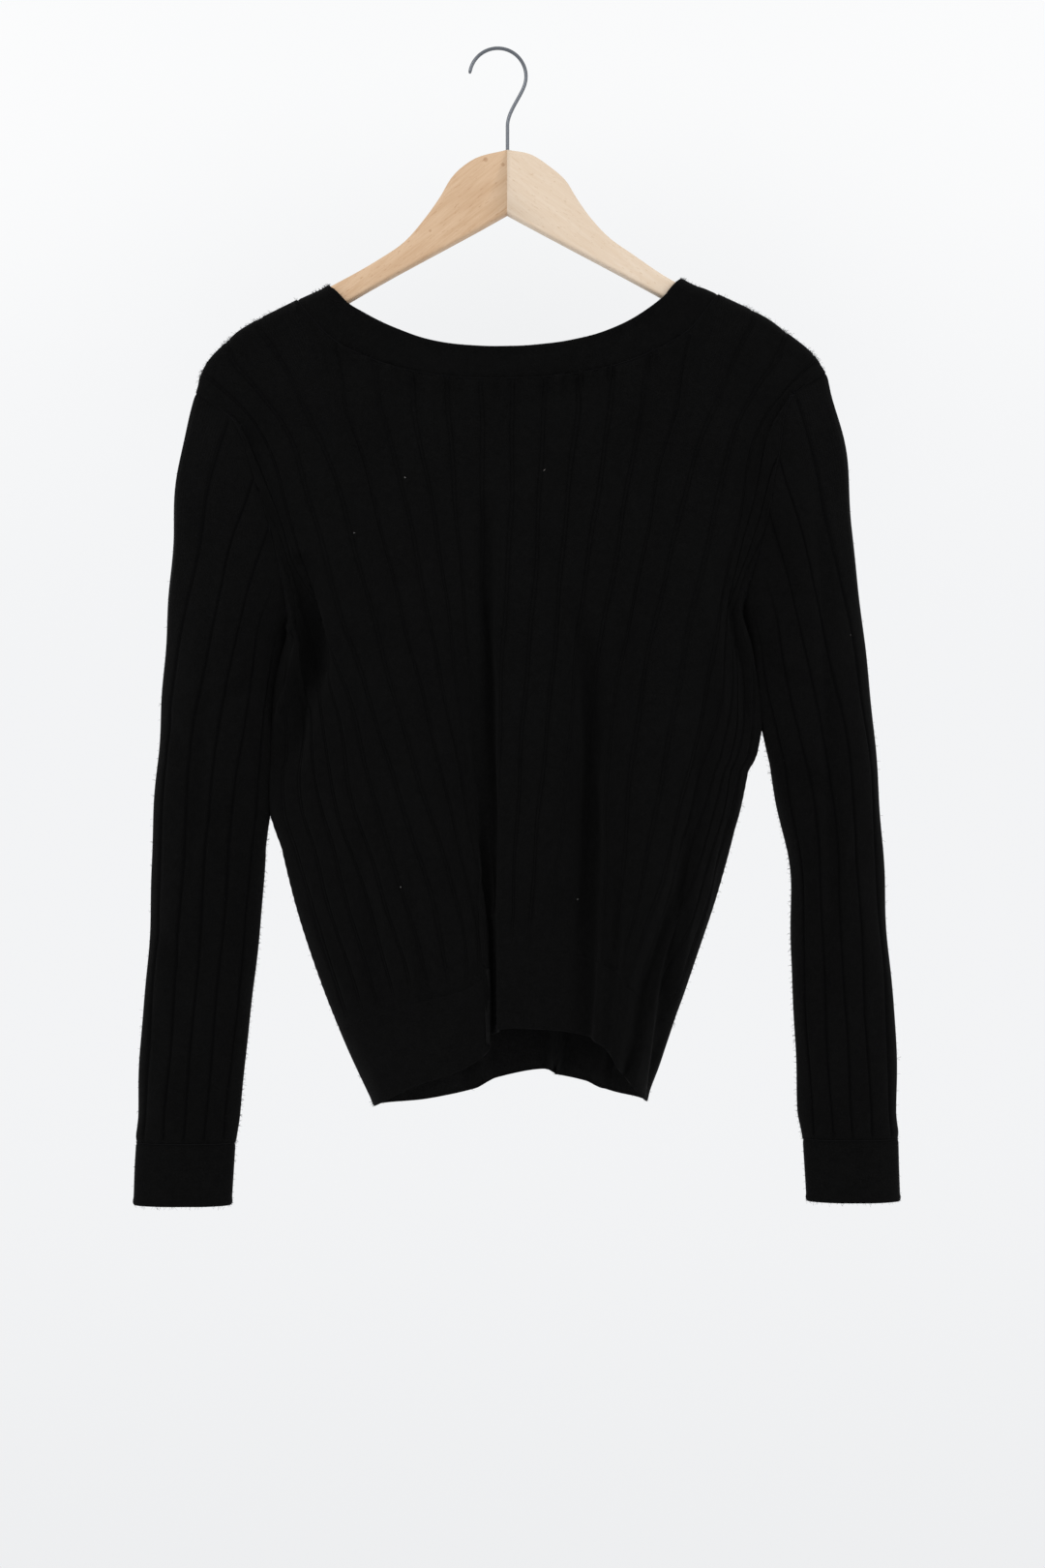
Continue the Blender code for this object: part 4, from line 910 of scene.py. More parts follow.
def make_panel(name, face, creases, shift, finish):
    """The front or the back, with its ribs, creases and swells; also its points and normals."""
    lines = panel_columns()
    points = panel_points(lines, PANEL_SHARES, face)
    points[:, (0, -1), 1] = 0.0
    normals = facing(points, False, np.array([0.0, face, 0.0]))
    from_side = np.minimum(lines, LAST_LINE - lines)
    on_shoulder = (from_side >= ARM_CORNER) & (from_side <= NECK_CORNER)
    flatten_normals(normals, (slice(None), (0, -1)))
    flatten_normals(normals, (0, on_shoulder))
    x, z = points[..., 0], points[..., 2]

    calm = np.ones_like(x)
    for fold in folds_of(face):
        reach = np.clip(np.abs(lines - fold.line) / fold.half, 0.0, 1.0)
        calm = np.minimum(calm, 1.0 - fold.hidden * (1.0 - reach ** 4) * fold_strength(fold, z))
    side_top = np.where(lines < CENTRE_LINE, z[0, 0], z[0, -1])
    near_pit = ease((side_top - z) / ARMPIT_CALM)
    calm *= np.where(from_side < CALM_LINES_OF_RIBS, near_pit, 1.0)
    away, pitch = ribbed(points, lines)
    full = np.minimum(pitch / FULL_RIB, 1.0) ** 2 * calm
    profile = read(RIB_PROFILE, "away", "height", away)

    down = travelled(points, 0)
    up = down[-1] - down
    inside = ease(down / PANEL_TOP_CALM) * ease(from_side / CALM_LINES_OF_CREASES)
    edges = seam_dip(down) + seam_dip(from_side * pitch)
    settled = ease(down / RIB_TOP_CALM) * ease((up - RIB_FOOT_START) / RIB_FOOT_CALM)
    raised = RIB_RAISE * profile * full * settled + BAND_RAISE * (1.0 - settled) - edges
    raised += inside * (swelling(x, z, shift) * ease(up / PANEL_FOOT_CALM) - creased(x, z, creases))
    sideways = wavering(SLOW_WAVER, z, lines, shift) + wavering(QUICK_WAVER, z, lines)
    shaped = points + normals * raised[..., None]
    shaped[..., 0] += sideways * inside * ease(up / WAVER_FOOT_CALM)
    uvs = np.stack([np.broadcast_to(lines * RIB_CUT, x.shape), down], axis=-1)
    # Painted shade: the channels are darkened in colour, where shade falls between the ribs.
    painted_groove_shade = PANEL_PAINTED_SHADE * (1.0 - profile) * full * settled
    piece = make_cloth(name, shaped, normals, uvs, painted_groove_shade, False, finish)
    return piece, shaped, normals


def tubed(front, back):
    """One round of a tube that starts and ends at the left side seam."""
    return np.concatenate([front, back[:, ::-1][:, 1:]], axis=1)


def outward_from_middle(points):
    """Which way is out, for the points of a tube."""
    return points - points.mean(axis=1, keepdims=True)


def make_band(name, points, finish, bead, shift, dip=1.0, inner=None):
    """A plain band, closed round, with a bead along its free edge, and a dip at its seam."""
    points[:, -1] = points[:, 0]
    normals = facing(points, True, outward_from_middle(points))
    normals[:, -1] = normals[:, 0]
    down = travelled(points, 0)
    up = down[-1] - down
    round_way = travelled(points, 1)
    uneven = sum(
        ripple.height * np.sin(round_way / ripple.length + number * shift)
        for number, ripple in enumerate(BAND_RIPPLES, start=1)
    )
    left = round_way[:, -1:] - round_way
    uneven = uneven * ease(round_way / BAND_CLOSE_CALM) * ease(left / BAND_CLOSE_CALM)
    raised = BAND_RAISE - dip * seam_dip(down) + uneven * ease(down / BAND_TOP_CALM)
    raised += bead * np.exp(-((up - BEAD_PLACE) / BEAD_WIDTH) ** 2)
    shaped = points + normals * raised[..., None]
    shaped[-1] -= normals[-1] * EDGE_TUCK
    shaped[:, -1] = shaped[:, 0]
    uvs = np.stack([round_way, down], axis=-1)
    # Painted shade: the band is darkened in colour next to its seam.
    painted_groove_shade = BAND_SEAM_PAINTED_SHADE * dip * (1.0 - ease(down / BAND_SEAM_PAINTED_SHADE_REACH))
    return make_cloth(name, shaped, normals, uvs, painted_groove_shade, True, finish, inner), shaped, normals


def make_hem_band(finish, inner):
    """The band round the hem, into which the creases of front and back run on."""
    lines = np.arange(0, LAST_LINE + COLUMN_STEP / 2, COLUMN_STEP)
    from_side = np.minimum(lines, LAST_LINE - lines)
    halves = []
    for face, creases in ((FRONT, FRONT_CREASES), (BACK, BACK_CREASES)):
        points = hem_points(lines, BAND_SHARES, face)
        normals = facing(points, False, np.array([0.0, face, 0.0]))
        depth = creased(points[..., 0], points[..., 2], creases) * ease(from_side / CALM_LINES_OF_CREASES)
        halves.append(points - normals * depth[..., None])
    return make_band("hem_band_knit", tubed(*halves), finish, bead=0.0004, shift=0.7, dip=0.0, inner=inner)


def neck_columns():
    """Lines of the neckband's columns, from the left corner to the right one."""
    corner = CORNER_TURNS + BAND_NECK_COLUMNS
    last = LAST_LINE - FIRST_NECK_LINE
    middle = list(np.arange(FIRST_NECK_LINE, last + COLUMN_STEP / 2, COLUMN_STEP))
    return np.array(corner + middle + [LAST_LINE - line for line in corner[::-1]])


def neckband_half(face):
    """The front or the back of the neckband, from its seam up to its upper edge."""
    lines = neck_columns()
    x, y, z, _ = along_nodes(neck_node, lines, face)
    seam = stacked(x, y, z)
    upper = stacked(*along_nodes(collar_node, lines, face))
    return seam + (upper - seam) * BAND_SHARES[:, None, None]


def make_neckband(finish):
    """The band round the neck, over both of the hanger's arms."""
    points = tubed(neckband_half(FRONT), neckband_half(BACK))
    return make_band("neckband_knit", points, finish, bead=0.0006, shift=2.2)


def sleeve_columns():
    """Lines from the nearer side seam, and the face of each, once round the sleeve."""
    half = columns_between(0, ARM_CORNER, RIB_MARKS)
    front = [(line, FRONT) for line in half]
    back = [(line, BACK) for line in half[::-1][1:]]
    return np.array(front + back)


def make_sleeve(name, table, armhole, shift, finish):
    """A ribbed sleeve from the armhole down to its cuff; also its points and normals."""
    lines, face = sleeve_columns().T
    points = sleeve_points(table, armhole, lines, face, SLEEVE_SHARES)
    points[:, -1] = points[:, 0]
    normals = facing(points, True, outward_from_middle(points))
    ends = [0, len(lines) - 1, list(lines).index(ARM_CORNER)]
    flatten_normals(normals, (slice(None), ends))
    normals[:, -1] = normals[:, 0]
    lines_round = np.where(face == FRONT, lines, 2 * ARM_CORNER - lines)
    away, pitch = ribbed(points, lines_round)
    calm = np.where(lines < CALM_LINES_OF_RIBS, ease(SLEEVE_SHARES / SLEEVE_CALM)[:, None], 1.0)
    full = np.minimum(pitch / FULL_RIB, 1.0) ** 2 * calm
    profile = ease(away / SLEEVE_CHANNEL)
    down = travelled(points, 0)
    up = down[-1] - down
    inside = ease(down / SLEEVE_END_CALM) * ease(up / SLEEVE_END_CALM)
    settled = ease(down / SLEEVE_RIB_CALM) * ease(up / SLEEVE_RIB_CALM)
    x, z = points[..., 0], points[..., 2]
    crease_z = np.where(face == FRONT, z, z - BACK_CREASES_RAISED)
    raised = RIB_RAISE * profile * full * settled + BAND_RAISE * (1.0 - settled)
    raised -= seam_dip(down) + seam_dip(up)
    pressed = creased(x, crease_z, SLEEVE_CREASES) * np.abs(normals[..., 1])
    raised += inside * (swelling(x, z, shift) - pressed)
    shaped = points + normals * raised[..., None]
    shaped[..., 0] += wavering(SLEEVE_WAVER, z, lines, shift) * inside
    shaped[:, -1] = shaped[:, 0]
    uvs = np.stack([np.broadcast_to(lines_round * RIB_CUT, x.shape), down], axis=-1)
    # Painted shade: the channels are darkened in colour, where shade falls between the ribs.
    painted_groove_shade = SLEEVE_PAINTED_SHADE * (1.0 - profile) * full * settled
    return make_cloth(name, shaped, normals, uvs, painted_groove_shade, True, finish), shaped, normals


def make_cuff(name, table, armhole, side, shift, finish):
    """A plain cuff below a sleeve, a little narrower and further out towards its edge."""
    half = [COLUMN_STEP * step for step in range(int(ARM_CORNER / COLUMN_STEP) + 1)]
    lines = np.array(half + half[::-1][1:])
    face = np.array([FRONT] * len(half) + [BACK] * (len(half) - 1))
    top = sleeve_points(table, armhole, lines, face, np.array([1.0]))[0]
    centre = (top[:, 0].min() + top[:, 0].max()) / 2
    shares = BAND_SHARES[:, None]
    x = top[:, 0] + (centre - top[:, 0]) * CUFF_TAPER * shares + side * CUFF_LEAN * shares
    z = top[:, 2] - (SEAM_GAP + CUFF_HEIGHT) * shares
    y = top[:, 1] * (1.0 - CUFF_WAIST * np.sin(math.pi * shares))
    return make_band(name, stacked(x, y, z), finish, bead=0.0005, shift=shift)


# ---------------------------------------------------------------- threads, fuzz and lint
# Half thicknesses, lengths and lifts in metres.  A fibre's heading strays from the normal by up to
# FUZZ_SPREAD, and its second half bends within FUZZ_BENDS, mostly down.  A larger FUZZ_AT_EDGE
# keeps the fuzz closer to the outline, and FUZZ_ON_FACE is its share elsewhere.
SEAM_THREAD = 0.00042
THREAD_STEP = 0.0015
THREAD_WAVER = 0.00012
THREAD_WAVE = 0.0011
ROUND_SEAM_LIFT = 0.00015
LONG_SEAM_LIFT = 0.00012
FUZZ_THREAD = 0.00006
FUZZ_ROOT = 0.0002
FUZZ_SPREAD = 0.8
FUZZ_BENDS = ((-0.5, 0.5), (-0.5, 0.5), (-0.7, 0.3))
FUZZ_STRAIGHT = 0.6
FUZZ_LENGTHS = (0.4, 1.4)
FUZZ_AT_EDGE = 1.5
FUZZ_ON_FACE = 0.04
TOP_ROWS = slice(0, 8)
LOWER_ROWS = slice(8, None)
LAST_ROW = slice(-1, None)
LINT_THREAD = 0.00008
LINT_CURL = 0.0007
LINT_LIFT = 0.0002
LINT_RISE = 0.0001
LINT_BITS = 3
LINT_PLACES = (
    (-0.0645, -0.305), (0.0328, -0.300), (-0.0687, -0.594),
    (0.0571, -0.603), (0.2495, -0.417), (-0.1020, -0.345),
)


def seam_thread(path, normals, lift, closed):
    """A linking thread that wavers a little as it runs along a seam."""
    steps = np.linalg.norm(np.diff(path, axis=0), axis=1)
    run = np.concatenate([[0.0], np.cumsum(steps)])
    count = int(run[-1] / THREAD_STEP)
    at = np.linspace(0.0, run[-1], count, endpoint=not closed)
    place = np.stack([np.interp(at, run, path[:, k]) for k in range(3)], axis=-1)
    out = np.stack([np.interp(at, run, normals[:, k]) for k in range(3)], axis=-1)
    height = lift + THREAD_WAVER * np.sin(at / THREAD_WAVE)
    return place + out * height[:, None]


def fibre(rng, place, normal, reach):
    """A short curled fibre that leaves the cloth at a place."""
    heading = normal + np.array([rng.uniform(-FUZZ_SPREAD, FUZZ_SPREAD) for _ in range(3)])
    heading /= max(np.linalg.norm(heading), NEAR)
    bend = np.array([rng.uniform(low, high) for low, high in FUZZ_BENDS])
    middle = place + heading * reach / 2
    tip = middle + (heading * FUZZ_STRAIGHT + bend) * reach / 2
    return np.stack([place - normal * FUZZ_ROOT, middle, tip])


def fuzz_on(rng, shaped, normals, count, reach, rows=slice(None)):
    """Fibres on a piece, most of them where its outline is seen from the front or the back."""
    first_row, last_row, _ = rows.indices(len(shaped))
    columns = shaped.shape[1]
    found = []
    while len(found) < count:
        row = rng.randrange(first_row, last_row)
        column = rng.randrange(columns)
        normal = normals[row, column]
        if rng.random() > (1.0 - abs(normal[1])) ** FUZZ_AT_EDGE + FUZZ_ON_FACE:
            continue
        part = rng.random()
        after = min(column + 1, columns - 1)
        place = shaped[row, column] * (1 - part) + shaped[row, after] * part
        found.append(fibre(rng, place, normal, reach * rng.uniform(*FUZZ_LENGTHS)))
    return found


def nearest_on_front(shapes, x, z):
    """The nearest point that faces the front, and its normal, to a place in X and Z."""
    found = []
    for shape, normals in shapes:
        away = np.hypot(shape[..., 0] - x, shape[..., 2] - z)
        away = np.where(normals[..., 1] < 0, away, np.inf)
        at = np.unravel_index(np.argmin(away), away.shape)
        found.append((away[at], shape[at], normals[at]))
    return min(found, key=lambda item: item[0])[1:]


def lint_specks(rng, shapes):
    """Tiny curled bits of pale lint on the front."""
    specks = []
    for x, z in LINT_PLACES:
        place, normal = nearest_on_front(shapes, x, z)
        bits = [place + normal * LINT_LIFT]
        for _ in range(LINT_BITS):
            aside = rng.uniform(-1, 1) * LINT_CURL
            up = rng.uniform(-1, 1) * LINT_CURL
            bits.append(bits[-1] + np.array([aside, -LINT_RISE, up]))
        specks.append(np.array(bits))
    return specks


# ---------------------------------------------------------------- the hanger
# The arms: the joint, their height at the neck corners, and the places in X and Z that their upper
# edges pass from the joint to the cloth.
JOINT_X = 0.0066
JOINT_TOP = -0.0718
JOINT_FOOT = -0.1173
ARM_HEIGHT = 0.0225
EDGE_ROUND = 0.0024
EDGE_STEPS = 5
TOP_SPACING = 0.0045
UNDER_SPACING = 0.02
LEFT_TOP = (
    (-0.0176, -0.0787), (-0.0314, -0.0897), (-0.0417, -0.1063), (-0.0521, -0.1208),
    (-0.0673, -0.1380), (-0.0845, -0.1497), (-0.1170, -0.1680),
)
RIGHT_TOP = (
    (0.0238, -0.0752), (0.0376, -0.0842), (0.0480, -0.0932), (0.0562, -0.1063),
    (0.0666, -0.1208), (0.0804, -0.1352), (0.0942, -0.1449), (0.1301, -0.1677),
)
# The arms' rounded ends inside the shoulders: how far they stay short of the shoulder's end, and the
# places round them, outwards and up from there.
TIP_SHORT = 0.0035
TIP_BELOW = 0.0015
TIP_ROUND = ((0.0004, -0.0042), (-0.0014, -0.0095), (-0.0044, -0.0122), (-0.0080, -0.0135))
FACES_JOINT = 0.01

# The hook: the half thickness that its crook hangs on, the one of the wire that shows, the crook's
# radius and turns, and the shank, into which the sweep leads with a pull from each of its ends.
WIRE = 0.0015
WIRE_SHOWN = 0.00128
WIRE_STEPS = 5
TIP_SHARES = (0.55, 0.86, 0.97)
CROOK = 0.0201
CROOK_TIP = math.radians(174.0)
CROOK_HEEL = math.radians(-8.0)
CROOK_STEPS = 64
HEEL_PULL = 0.030
FOOT_PULL = 0.034
SWEEP_STEPS = 40
SHANK_X = 0.0069
SHANK_TOP = -0.0540
SHANK_FOOT = -0.0727


def smoothed(path, spacing):
    """Evenly spaced points on a smooth curve through a path in X and Z."""
    path = np.array(path)
    run = np.concatenate([[0.0], np.cumsum(np.linalg.norm(np.diff(path, axis=0), axis=1))])
    at = np.linspace(0.0, run[-1], max(int(run[-1] / spacing), 2))
    return list(zip(smooth_read(run, path[:, 0], at), smooth_read(run, path[:, 1], at)))


def arm_outline(side, top_points, shoulder):
    """Outline of one half of the hanger, from the joint out along the top and back below."""
    lift = WALL + REST_GAP
    top = [(JOINT_X, JOINT_TOP)] + list(top_points)
    under = []
    for row in shoulder[:0:-1]:
        x = row.x - side * lift * math.sin(SHOULDER_TILT)
        under.append((x, row.height - lift / math.cos(SHOULDER_TILT)))
    neck = under[0]
    tip = (under[-1][0] - side * TIP_SHORT, under[-1][1] - TIP_BELOW)
    under[-1] = tip
    tip_round = [(tip[0] + side * out, tip[1] + up) for out, up in TIP_ROUND]
    low = (neck[0], neck[1] - ARM_HEIGHT)
    foot = smoothed([tip_round[-1], low, (JOINT_X, JOINT_FOOT)], UNDER_SPACING)[1:]
    return smoothed(top + under, TOP_SPACING) + tip_round + foot


def make_arm(name, side, top_points, shoulder, finish):
    """One half of the hanger, its edges rounded but for those at the joint."""
    outline = arm_outline(side, top_points, shoulder)
    made = bmesh.new()
    bmesh.ops.create_circle(made, cap_ends=True, segments=len(outline), radius=1.0)
    corners = sorted(made.verts, key=lambda v: math.atan2(v.co.y, v.co.x))
    for corner, (x, z) in zip(corners, outline):
        corner.co = (x, -HANGER_HALF, z)
    pushed = bmesh.ops.extrude_face_region(made, geom=list(made.faces))
    moved = [item for item in pushed["geom"] if isinstance(item, bmesh.types.BMVert)]
    bmesh.ops.translate(made, verts=moved, vec=(0.0, 2 * HANGER_HALF, 0.0))
    bmesh.ops.recalc_face_normals(made, faces=made.faces)
    rims = []
    for edge in made.edges:
        a, b = (vertex.co for vertex in edge.verts)
        at_joint = abs(a.x - JOINT_X) < NEAR and abs(b.x - JOINT_X) < NEAR
        if abs(a.y - b.y) < NEAR and not at_joint:
            rims.append(edge)
    bmesh.ops.bevel(
        made, geom=rims, offset=EDGE_ROUND, offset_type="OFFSET", affect="EDGES",
        segments=EDGE_STEPS, profile=0.5, material=-1, clamp_overlap=True,
    )
    for face in made.faces:
        face.smooth = face.normal.length > 0 and abs(face.normal.x * side + 1.0) > FACES_JOINT
    mesh = bpy.data.meshes.new(name)
    made.to_mesh(mesh)
    made.free()
    return add_piece(name, mesh, finish)


def hook_route():
    """The wire's middle, from the crook's tip round to its heel, in a sweep, and down the shank."""
    middle = np.array([0.0, 0.0, WIRE - CROOK])
    angles = np.linspace(CROOK_TIP, CROOK_HEEL, CROOK_STEPS)
    crook = middle + CROOK * stacked(np.cos(angles), 0.0, np.sin(angles))
    foot = np.array([SHANK_X, 0.0, SHANK_TOP])
    heel_pull = np.array([math.sin(CROOK_HEEL), 0.0, -math.cos(CROOK_HEEL)]) * HEEL_PULL
    foot_pull = np.array([0.0, 0.0, -FOOT_PULL])
    part = np.linspace(0.0, 1.0, SWEEP_STEPS)[1:, None]
    sweep = bent(crook[-1], foot, heel_pull, foot_pull, part)
    shank = np.array([[SHANK_X, 0.0, SHANK_FOOT]])
    return np.concatenate([crook, sweep, shank])


def make_hook(finish):
    """The wire hook, rounded off at its tip."""
    hook = cord_through("hook_wire", [hook_route()], WIRE_SHOWN, finish, round_steps=WIRE_STEPS)
    for point, share in zip(hook.data.splines[0].points, TIP_SHARES):
        point.radius = share
    return hook


# ---------------------------------------------------------------- finishes
class Wire:
    """A value in a material's node tree, which takes part in sums."""

    def __init__(self, finish, socket):
        self.finish = finish
        self.socket = socket

    def worked(self, operation, *values):
        """The result of a Math node."""
        return self.finish.make("ShaderNodeMath", {"operation": operation}, dict(enumerate(values)))

    def __add__(self, other):
        return self.worked("ADD", self, other)

    def __radd__(self, other):
        return self.worked("ADD", other, self)

    def __sub__(self, other):
        return self.worked("SUBTRACT", self, other)

    def __rsub__(self, other):
        return self.worked("SUBTRACT", other, self)

    def __mul__(self, other):
        return self.worked("MULTIPLY", self, other)

    def __rmul__(self, other):
        return self.worked("MULTIPLY", other, self)

    def __truediv__(self, other):
        return self.worked("DIVIDE", self, other)

    def __rtruediv__(self, other):
        return self.worked("DIVIDE", other, self)

    def __pow__(self, other):
        return self.worked("POWER", self, other)

    def __abs__(self):
        return self.worked("ABSOLUTE", self)

    def part(self):
        return self.worked("FRACT", self)

    def sine(self):
        return self.worked("SINE", self)

    def above(self, low, high):
        """0 below low, 1 above high, and a soft step between."""
        settings = {"interpolation_type": "SMOOTHSTEP"}
        return self.finish.make("ShaderNodeMapRange", settings, {0: self, 1: low, 2: high})


class Nodes:
    """A node tree; make() adds a node with its settings and inputs."""

    def __init__(self, tree, kind):
        self.tree = tree
        self.shader = next(node for node in tree.nodes if node.type == kind)

    def make(self, kind, settings, inputs, output=0):
        node = self.tree.nodes.new(kind)
        for key, value in settings.items():
            setattr(node, key, value)
        for key, value in inputs.items():
            if isinstance(value, Wire):
                self.tree.links.new(value.socket, node.inputs[key])
            else:
                node.inputs[key].default_value = value
        return Wire(self, node.outputs[output])

    def vector(self, operation, *values, output=0):
        """The result of a Vector Math node."""
        return self.make("ShaderNodeVectorMath", {"operation": operation}, dict(enumerate(values)), output)

    def feed(self, name, value):
        """Links a value to the shader."""
        self.tree.links.new(value.socket, self.shader.inputs[name])

    def mixed(self, share, low, high):
        """The colour low where share is 0, and high where it is 1."""
        settings = {"data_type": "RGBA"}
        return self.make("ShaderNodeMix", settings, {0: share, 6: low, 7: high}, output=2)


class Finish(Nodes):
    """A material with a principled shader."""

    def __init__(self, name, **constants):
        self.material = bpy.data.materials.new(name)
        self.material.use_nodes = True
        super().__init__(self.material.node_tree, "BSDF_PRINCIPLED")
        for socket, value in constants.items():
            self.shader.inputs[socket.replace("_", " ")].default_value = value

    def place(self, stretch=(1.0, 1.0, 1.0), turn=0.0):
        """Object coordinates, turned about Y and stretched."""
        start = self.make("ShaderNodeTexCoord", {}, {}, output="Object")
        turned = self.make("ShaderNodeMapping", {}, {0: start, "Rotation": (0.0, turn, 0.0)})
        return self.make("ShaderNodeMapping", {}, {0: turned, "Scale": stretch})

    def noise(self, place, scale, detail=2.0, roughness=0.5):
        inputs = {"Vector": place, "Scale": scale, "Detail": detail, "Roughness": roughness}
        return self.make("ShaderNodeTexNoise", {}, inputs)

    def bumped(self, height, distance, strength=1.0):
        inputs = {"Height": height, "Distance": distance, "Strength": strength}
        self.feed("Normal", self.make("ShaderNodeBump", {}, inputs))


# Black wool: its plain colour, its colour on the rubbed faces, and the painted shade of the grooves.
KNIT_BLACK = (0.0016, 0.0016, 0.0016)
KNIT_WORN = (0.0043, 0.0043, 0.0043)
KNIT_PAINTED_SHADE = (0.0008, 0.0008, 0.0009)


def knit_finish(name, wide, tall, relief, shade=1.0):
    """Fine knit: small slanted stitches in columns, over a soft felted unevenness.

    A stitch is wide and tall in metres; shade makes the whole cloth lighter, as painted light.
    """
    finish = Finish(
        name, Roughness=0.95, Specular_IOR_Level=0.05,
        Sheen_Weight=0.0115, Sheen_Roughness=0.45, Sheen_Tint=(0.8, 0.8, 0.8, 1.0),
    )
    marks = finish.make("ShaderNodeUVMap", {"uv_map": "UVMap"}, {})
    across = finish.make("ShaderNodeSeparateXYZ", {}, {0: marks}, output=0)
    down = finish.make("ShaderNodeSeparateXYZ", {}, {0: marks}, output=1)
    # A stitch has two legs, which slant down towards its middle, and lies in courses.
    leg = abs((across / wide).part() - 0.5)
    column = (leg * (2 * math.pi)).sine()
    course = ((down / tall + leg * 1.1).part() * math.pi).sine()
    stitch = column ** 0.6 * (course * 0.7 + 0.3)
    # The surface is rubbed lighter in fine fuzz, felted patches and wide faint clouds.
    place = finish.place()
    fuzz = finish.noise(place, scale=1100.0, detail=2.0, roughness=0.6)
    felt = finish.noise(place, scale=210.0, detail=3.0, roughness=0.6)
    cloud = finish.noise(place, scale=23.0, detail=3.0, roughness=0.55)
    rubbed = (cloud * 0.18 + felt * 0.30 + fuzz * 0.72).above(0.42, 0.80)
    black, worn, painted_shade_colour = (
        (*(shade * part for part in tone), 1.0) for tone in (KNIT_BLACK, KNIT_WORN, KNIT_PAINTED_SHADE)
    )
    cloth = finish.mixed(rubbed * (0.4 + 0.6 * stitch), black, worn)
    # Painted shade: channels, seams and the gaps between stitches are darkened in colour where shade falls.
    painted_groove_shade = finish.make("ShaderNodeAttribute", {"attribute_name": "painted_groove_shade"}, {}, output="Fac")
    painted_shade_share = painted_groove_shade * 0.62 + (1.0 - stitch) * 0.20
    finish.feed("Base Color", finish.mixed(painted_shade_share, cloth, painted_shade_colour))
    finish.bumped(stitch * 0.55 + fuzz * 0.45 + felt * 0.8, relief)
    return finish.material


# Colours of the two pieces of wood, of their flecks, and of the knots' rims; the knots' places in X
# and Z with their sizes.
WARM_WOOD = (0.63, 0.445, 0.290, 1.0)
WARM_GRAIN = (0.50, 0.315, 0.178, 1.0)
WARM_FLECK = (0.38, 0.20, 0.10, 1.0)
PALE_WOOD = (0.725, 0.603, 0.478, 1.0)
PALE_GRAIN = (0.645, 0.500, 0.362, 1.0)
PALE_FLECK = (0.50, 0.34, 0.20, 1.0)
KNOT_RIM = (0.30, 0.14, 0.06, 1.0)
Knot = namedtuple("Knot", "x z size")
WARM_KNOTS = (Knot(-0.0086, -0.0794, 0.0022), Knot(0.0038, -0.0828, 0.0016), Knot(-0.0480, -0.1300, 0.0013))


def knotted(finish, colour, knots):
    """Small round knots with a darker rim."""
    start = finish.make("ShaderNodeTexCoord", {}, {}, output="Object")
    waver = finish.noise(start, scale=180.0) * 0.0016 - 0.0008
    for x, z, size in knots:
        offset = finish.vector("SUBTRACT", start, (x, 0.0, z))
        flat = finish.vector("MULTIPLY", offset, (1.0, 0.0, 1.0))
        away = finish.vector("LENGTH", flat, output="Value") + waver
        inside = 1.0 - away.above(size * 0.45, size)
        colour = finish.mixed(inside * 0.45, colour, KNOT_RIM)
    return colour


def wood_finish(name, wood, grain_colour, fleck_colour, tilt, fleck_scale, shift, relief, knots=()):
    """Sanded wood with its grain along the arm, tilted about Y, and flecks."""
    finish = Finish(name, Roughness=0.55, Specular_IOR_Level=0.35)
    # Year rings in long bands that bend a little, and fine streaks along the grain.
    bent_grain = finish.noise(finish.place(turn=tilt), scale=22.0)
    bands = finish.noise(finish.place((9.0, 60.0, 75.0), tilt), scale=2.2, detail=4.0, roughness=0.55)
    rings = ((bands * 9.0 + bent_grain * 3.0 + shift).sine() * 0.5 + 0.5) ** 1.6
    fine = finish.noise(finish.place((30.0, 300.0, 520.0), tilt), scale=2.0, detail=3.0, roughness=0.6)
    grain = (rings * 0.22 + fine * 0.75).above(0.10, 1.00)
    flecks = finish.noise(
        finish.place((150.0, 400.0, 900.0), tilt), scale=fleck_scale, detail=1.0, roughness=0.4
    )
    colour = finish.mixed(grain, wood, grain_colour)
    colour = finish.mixed(flecks.above(0.66, 0.78) * 0.6, colour, fleck_colour)
    if knots:
        colour = knotted(finish, colour, knots)
    finish.feed("Base Color", colour)
    finish.feed("Roughness", 0.50 + grain * 0.15)
    finish.bumped(fine * 0.6 + grain * 0.4, relief)
    return finish.material


def steel_finish():
    """Drawn wire, with faint streaks along it."""
    finish = Finish("steel_wire_bright", Metallic=1.0)
    drawn = finish.noise(finish.place((240.0, 240.0, 60.0)), scale=1.0)
    finish.feed("Roughness", drawn * 0.06 + 0.27)
    finish.feed("Base Color", finish.mixed(drawn, (0.125, 0.135, 0.150, 1.0), (0.155, 0.165, 0.182, 1.0)))
    return finish.material


def plain_finish(name, colour, **constants):
    """One colour all over."""
    return Finish(name, Base_Color=(*colour, 1.0), **constants).material


rib_knit = knit_finish("knit_ribbed", wide=0.00150, tall=0.00125, relief=0.00035)
band_knit = knit_finish("knit_plain", wide=0.00120, tall=0.00105, relief=0.00022)
